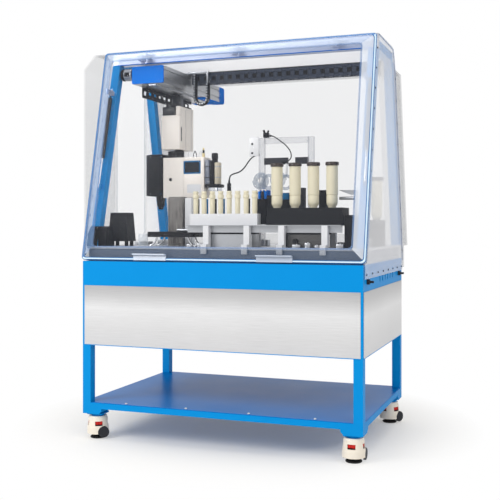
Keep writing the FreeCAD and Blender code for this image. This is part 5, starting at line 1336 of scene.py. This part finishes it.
def buildMotor():
    shape = bmesh.new()
    start, row, rise = arm["motor"]
    r = arm["motorRadius"]
    for first, last, extra, look, soft in arm["motorParts"]:
        near, far = (start + first, row, rise), (start + last, row, rise)
        bar(shape, near, far, r + extra, look=look, sides=40, round=soft)
    for k in range(8):
        low = start + 20 + k * 4.4
        bar(shape, (low, row, rise), (low + 2, row, rise), r + 0.2, sides=40, round=0.4)
    block(shape, (start + 22, start + 48), (row - r - 3, row - r + 4), (rise - 12, rise + 8), look=1, round=2)
    closeShape(
        shape, "armMotor", "arm", ["aluminium", "blackPlastic", "darkGrey"], ["arm_motor"],
    )


def buildArm():
    x, depth, z = arm["x"], arm["depth"], arm["z"]
    tail = depth[1] + arm["tail"]
    buildMotor()
    points = []
    for side in (x[0] + 22, x[1] - 22):
        for rise in (z[0] + 16, z[1] - 16):
            points.append((side, depth[0] - arm["cap"], rise, (0, -1, 0)))
            points.append((side, tail + arm["cap"], rise, (0, 1, 0)))
    addScrews("capScrews", points, 4.4, 2.4, "bluePlastic", "arm", sides=16)
    splitPiece("armBeam", "y_arm", ["aluminium"], move=reachBack)
    splitPiece("armCaps", "arm_caps", ["bluePlastic"], move=reachBack)
    # a blue strip under the beam's rear half, and the rear cap's collar
    shape = bmesh.new()
    block(shape, (x[1] - 60, x[1]), (depth[1] - 260, tail), (z[0] - 5, z[0] - 0.3), round=1)
    block(shape, (x[0] - 1, x[1] + 1), (depth[1] - arm["wrap"], tail), (z[0] - 1, z[1] + 1), round=0.6)
    closeShape(shape, "armStrip", "arm", ["bluePlastic"])
    # the chain's loop beside the carriage, its pins and the strip that it hangs from
    shape = bmesh.new()
    loop = arm["loop"]
    path = loopPath(loop)
    near, far = loop["depth"]
    for (x0, z0), (x1, z1) in zip(path, path[1:]):
        for row in (near, near + 4, far - 4, far):
            bar(shape, (x0, row, z0), (x1, row, z1), 8, sides=8)
        pinX, pinZ = (x0 + x1) / 2, (z0 + z1) / 2
        bar(shape, (pinX, near - 9, pinZ), (pinX, far, pinZ), 4.6, look=1, sides=8)
    side = loop["x"] + loop["radius"]
    low, high = arm["hanger"]
    block(shape, (side - 4, side + 3), (near - 2, far), (loop["z"] - 20, high), look=1, round=1)
    block(shape, (x[1] - 1, side + 4), (near, far), (low, high), look=1, round=1)
    closeShape(shape, "chainLoop", "arm", ["blackPlastic", "aluminium"])


buildArm()
print("arm built")

# the levelling wheels: red above this height, and black below it as painted shade in the housing's windows
thumbs = {"paintedShadeBelow": 64.5, "places": ("front_left", "front_right", "rear_left", "rear_right")}


def paintShadeLow(shape):
    # the faces below that height turn black: painted shade
    plane = spot(0, 0, thumbs["paintedShadeBelow"])
    everything = shape.verts[:] + shape.edges[:] + shape.faces[:]
    bmesh.ops.bisect_plane(shape, geom=everything, plane_co=plane, plane_no=(0, 0, 1), dist=0.000001)
    for face in shape.faces:
        if face.calc_center_median().z < plane.z:
            face.material_index = 1


for place in thumbs["places"]:
    splitPiece(
        "thumb" + place.title().replace("_", ""), "caster_thumb_" + place, ["redPlastic", "blackPlastic"],
        move=paintShadeLow,
    )
print("thumb wheels built")

# the clear stand: tubing coils as (x, z, turns, inner radius, outer radius), and what hangs on it
stand = {
    "coils": [
        (111, 1176, 5.5, 14, 39.5), (150, 1170, 3.5, 21, 38.5), (194, 1178, 5.0, 12, 39),
        (232, 1166, 3.0, 22, 36),
    ],
    "coilDepth": 284.0, "wire": 1.9, "strapTop": 1252,
    "bracket": ((52, 98.5), (290, 295), (1289, 1377)), "bracketScrews": [(67, 1304), (67, 1346)],
    "plug": ((120, 147), (288, 301), (1373, 1396)),
    # the plug's leads: from, to, radius
    "leads": [((128, 294, 1392), (122, 290, 1408), 5), ((140, 294, 1390), (146, 290, 1405), 4.4)],
    "valves": {
        "x": 96, "step": 15, "width": 11, "count": 4, "depth": (246, 256), "z": (1092, 1126), "stem": 1134,
    },
}


def standLook(x, depth, z):
    # clear bars, dark clamp bars, blue valves, metal rods
    if 1100 < z < 1115 and 100 < x < 170:
        return 2
    if 1250 < z < 1280:
        return 1
    return 3 if x > 400 or z < 960 else 0


def buildStand():
    splitPiece(
        "clearStand", "stand_frame", ["clearBar", "darkGrey", "bluePlastic", "aluminium"], standLook,
    )
    for k, (x, z, turns, inner, outer) in enumerate(stand["coils"]):
        name = "woundTubing%d" % k
        mesh = coilMesh(name, turns, inner, outer, 0.0, stand["wire"], "tubing")
        at = spot(x, stand["coilDepth"] - 3 * (k % 2), z)
        mesh.transform(Matrix.Translation(at) @ Matrix.Rotation(math.radians(90), 4, "X"))
        addPiece(name, mesh, "base", ["tubing"], ["tube_coil"] if k < 2 else [])
    # straps that carry the last two coils, white bracket with its screws, plug on the top corner
    shape = bmesh.new()
    for x, z, turns, inner, outer in stand["coils"][2:]:
        block(shape, (x - 4, x + 4), (286, 296), (z + outer - 8, stand["strapTop"]), round=1)
    block(shape, *stand["bracket"], round=3)
    for x, rise in stand["bracketScrews"]:
        bar(shape, (x, 290.5, rise), (x, 288.5, rise), 5, look=1, sides=12, round=0.6)
    block(shape, *stand["plug"], look=1, round=3)
    for start, end, radius in stand["leads"]:
        bar(shape, start, end, radius, look=1, sides=10, round=1)
    closeShape(shape, "standBracket", "base", ["whitePlastic", "blackPlastic"])
    # small valves in a row under the tubing
    shape = bmesh.new()
    valves = stand["valves"]
    width, depth, z = valves["width"], valves["depth"], valves["z"]
    for k in range(valves["count"]):
        x = valves["x"] + k * valves["step"]
        block(shape, (x, x + width), depth, z, look=k % 2, round=1.5)
        stem = (x + width / 2, depth[0] + 4)
        bar(shape, (*stem, z[1] - 1), (*stem, valves["stem"]), 3.2, look=2, sides=12, round=0.5)
    closeShape(shape, "valveRow", "base", ["darkGrey", "bluePlastic", "chrome"])


buildStand()
print("stand built")

# dark and blue uprights that show between the cartridges, and in the last two entries flat dark plates low on
# the rack that darken a gap there as painted shade: (x range, depth range, z range, finish)
uprights = [
    ((-170, -160), (198, 208), (976.5, 1093), 0), ((-124, -116), (198, 208), (976.5, 1093), 1),
    ((-86, -74), (198, 208), (976.5, 1093), 0), ((-42, -34), (198, 208), (976.5, 1093), 1),
    ((78, 88), (198, 208), (976.5, 1093), 0), ((118, 165), (196, 226), (976.5, 1090), 0),
    ((166, 196), (206, 228), (976.5, 1106), 0), ((218, 262), (246, 282), (876, 1118), 0),
    ((223, 258), (244, 250), (1088, 1116), 1), ((276, 328), (246, 280), (876, 1140), 2),
    ((396, 432), (246, 282), (876, 1128), 0), ((-120, 140), (94, 186), (933.3, 940.6), 0),
    ((290, 470), (94, 186), (933.3, 940.6), 0),
]
# blue edges on the beam at the door's top, and the frame's lip under the panels
trims = {
    "beamX": (-648, 648), "beamDepth": (281.8, 284.2), "beamZ": [(1746.2, 1750.5), (1800.5, 1804.5)],
    "lipZ": (428.5, 431.8), "lipX": (-640, 640), "lipFrontRear": [(-2.3, 4), (861, 867.3)],
    "lipDepth": (10, 855), "lipSides": [(646, 652.3), (-652.3, -646)],
}
# low blocks with a stud each that stand on the deck: x, depth, width, length, height
deckBlocks = [
    (-160, 60, 26, 20, 12), (-120, 84, 20, 18, 16), (330, 62, 34, 20, 14), (380, 80, 24, 20, 22),
    (428, 64, 18, 18, 12), (520, 70, 30, 24, 18), (70, 330, 60, 34, 30), (200, 340, 90, 36, 24),
    (-560, 330, 70, 60, 18), (-480, 420, 60, 50, 26), (450, 360, 80, 60, 20), (560, 340, 44, 44, 36),
]
deckTop = 876


def steelLook(x, depth, z):
    # columns, low rail on the left, shelf and boxes, and the rest dark
    if x < -250 and depth > 250:
        return 1
    if x < -140:
        return 2
    return 3 if x < 120 or z > 930 else 0


def buildSteelwork():
    splitPiece(
        "rackSteelwork", "deck_steelwork", ["darkSteel", "columnSteel", "chrome", "aluminium"], steelLook,
    )
    splitPiece(
        "frameSteel", "enclosure_frame", ["bluePaint", "anodised"],
        lambda x, depth, z: 1 if z > 1780 and depth < 290 else 0,
    )
    splitPiece(
        "crossBeams", "gantry_rail", ["aluminium", "anodised"], lambda x, depth, z: 1 if depth < 400 else 0,
    )
    shape = bmesh.new()
    for z in trims["beamZ"]:
        block(shape, trims["beamX"], trims["beamDepth"], z, round=0.8)
    closeShape(shape, "beamEdges", "base", ["bluePlastic"])
    shape = bmesh.new()
    for depth in trims["lipFrontRear"]:
        block(shape, trims["lipX"], depth, trims["lipZ"], round=0.6, steps=1)
    for x in trims["lipSides"]:
        block(shape, x, trims["lipDepth"], trims["lipZ"], round=0.6, steps=1)
    closeShape(shape, "panelLip", "base", ["bluePaint"])
    shape = bmesh.new()
    for x, depth, z, look in uprights:
        block(shape, x, depth, z, look=look, round=1.5)
    closeShape(
        shape, "rackUprights", "base", ["blackPlastic", "screenBlue", "darkGrey"],
    )


def buildDeckDetails():
    shape = bmesh.new()
    for x, depth, width, length, height in deckBlocks:
        top = deckTop + height
        block(shape, (x, x + width), (depth, depth + length), (deckTop, top), round=1.5)
        middle = (x + width / 2, depth + length / 2)
        bar(shape, (*middle, top - 1), (*middle, top + 3), 3.4, look=1, sides=6)
    closeShape(shape, "deckBlocks", "base", ["aluminium", "chrome"])


buildSteelwork()
buildDeckDetails()
print("deck built")
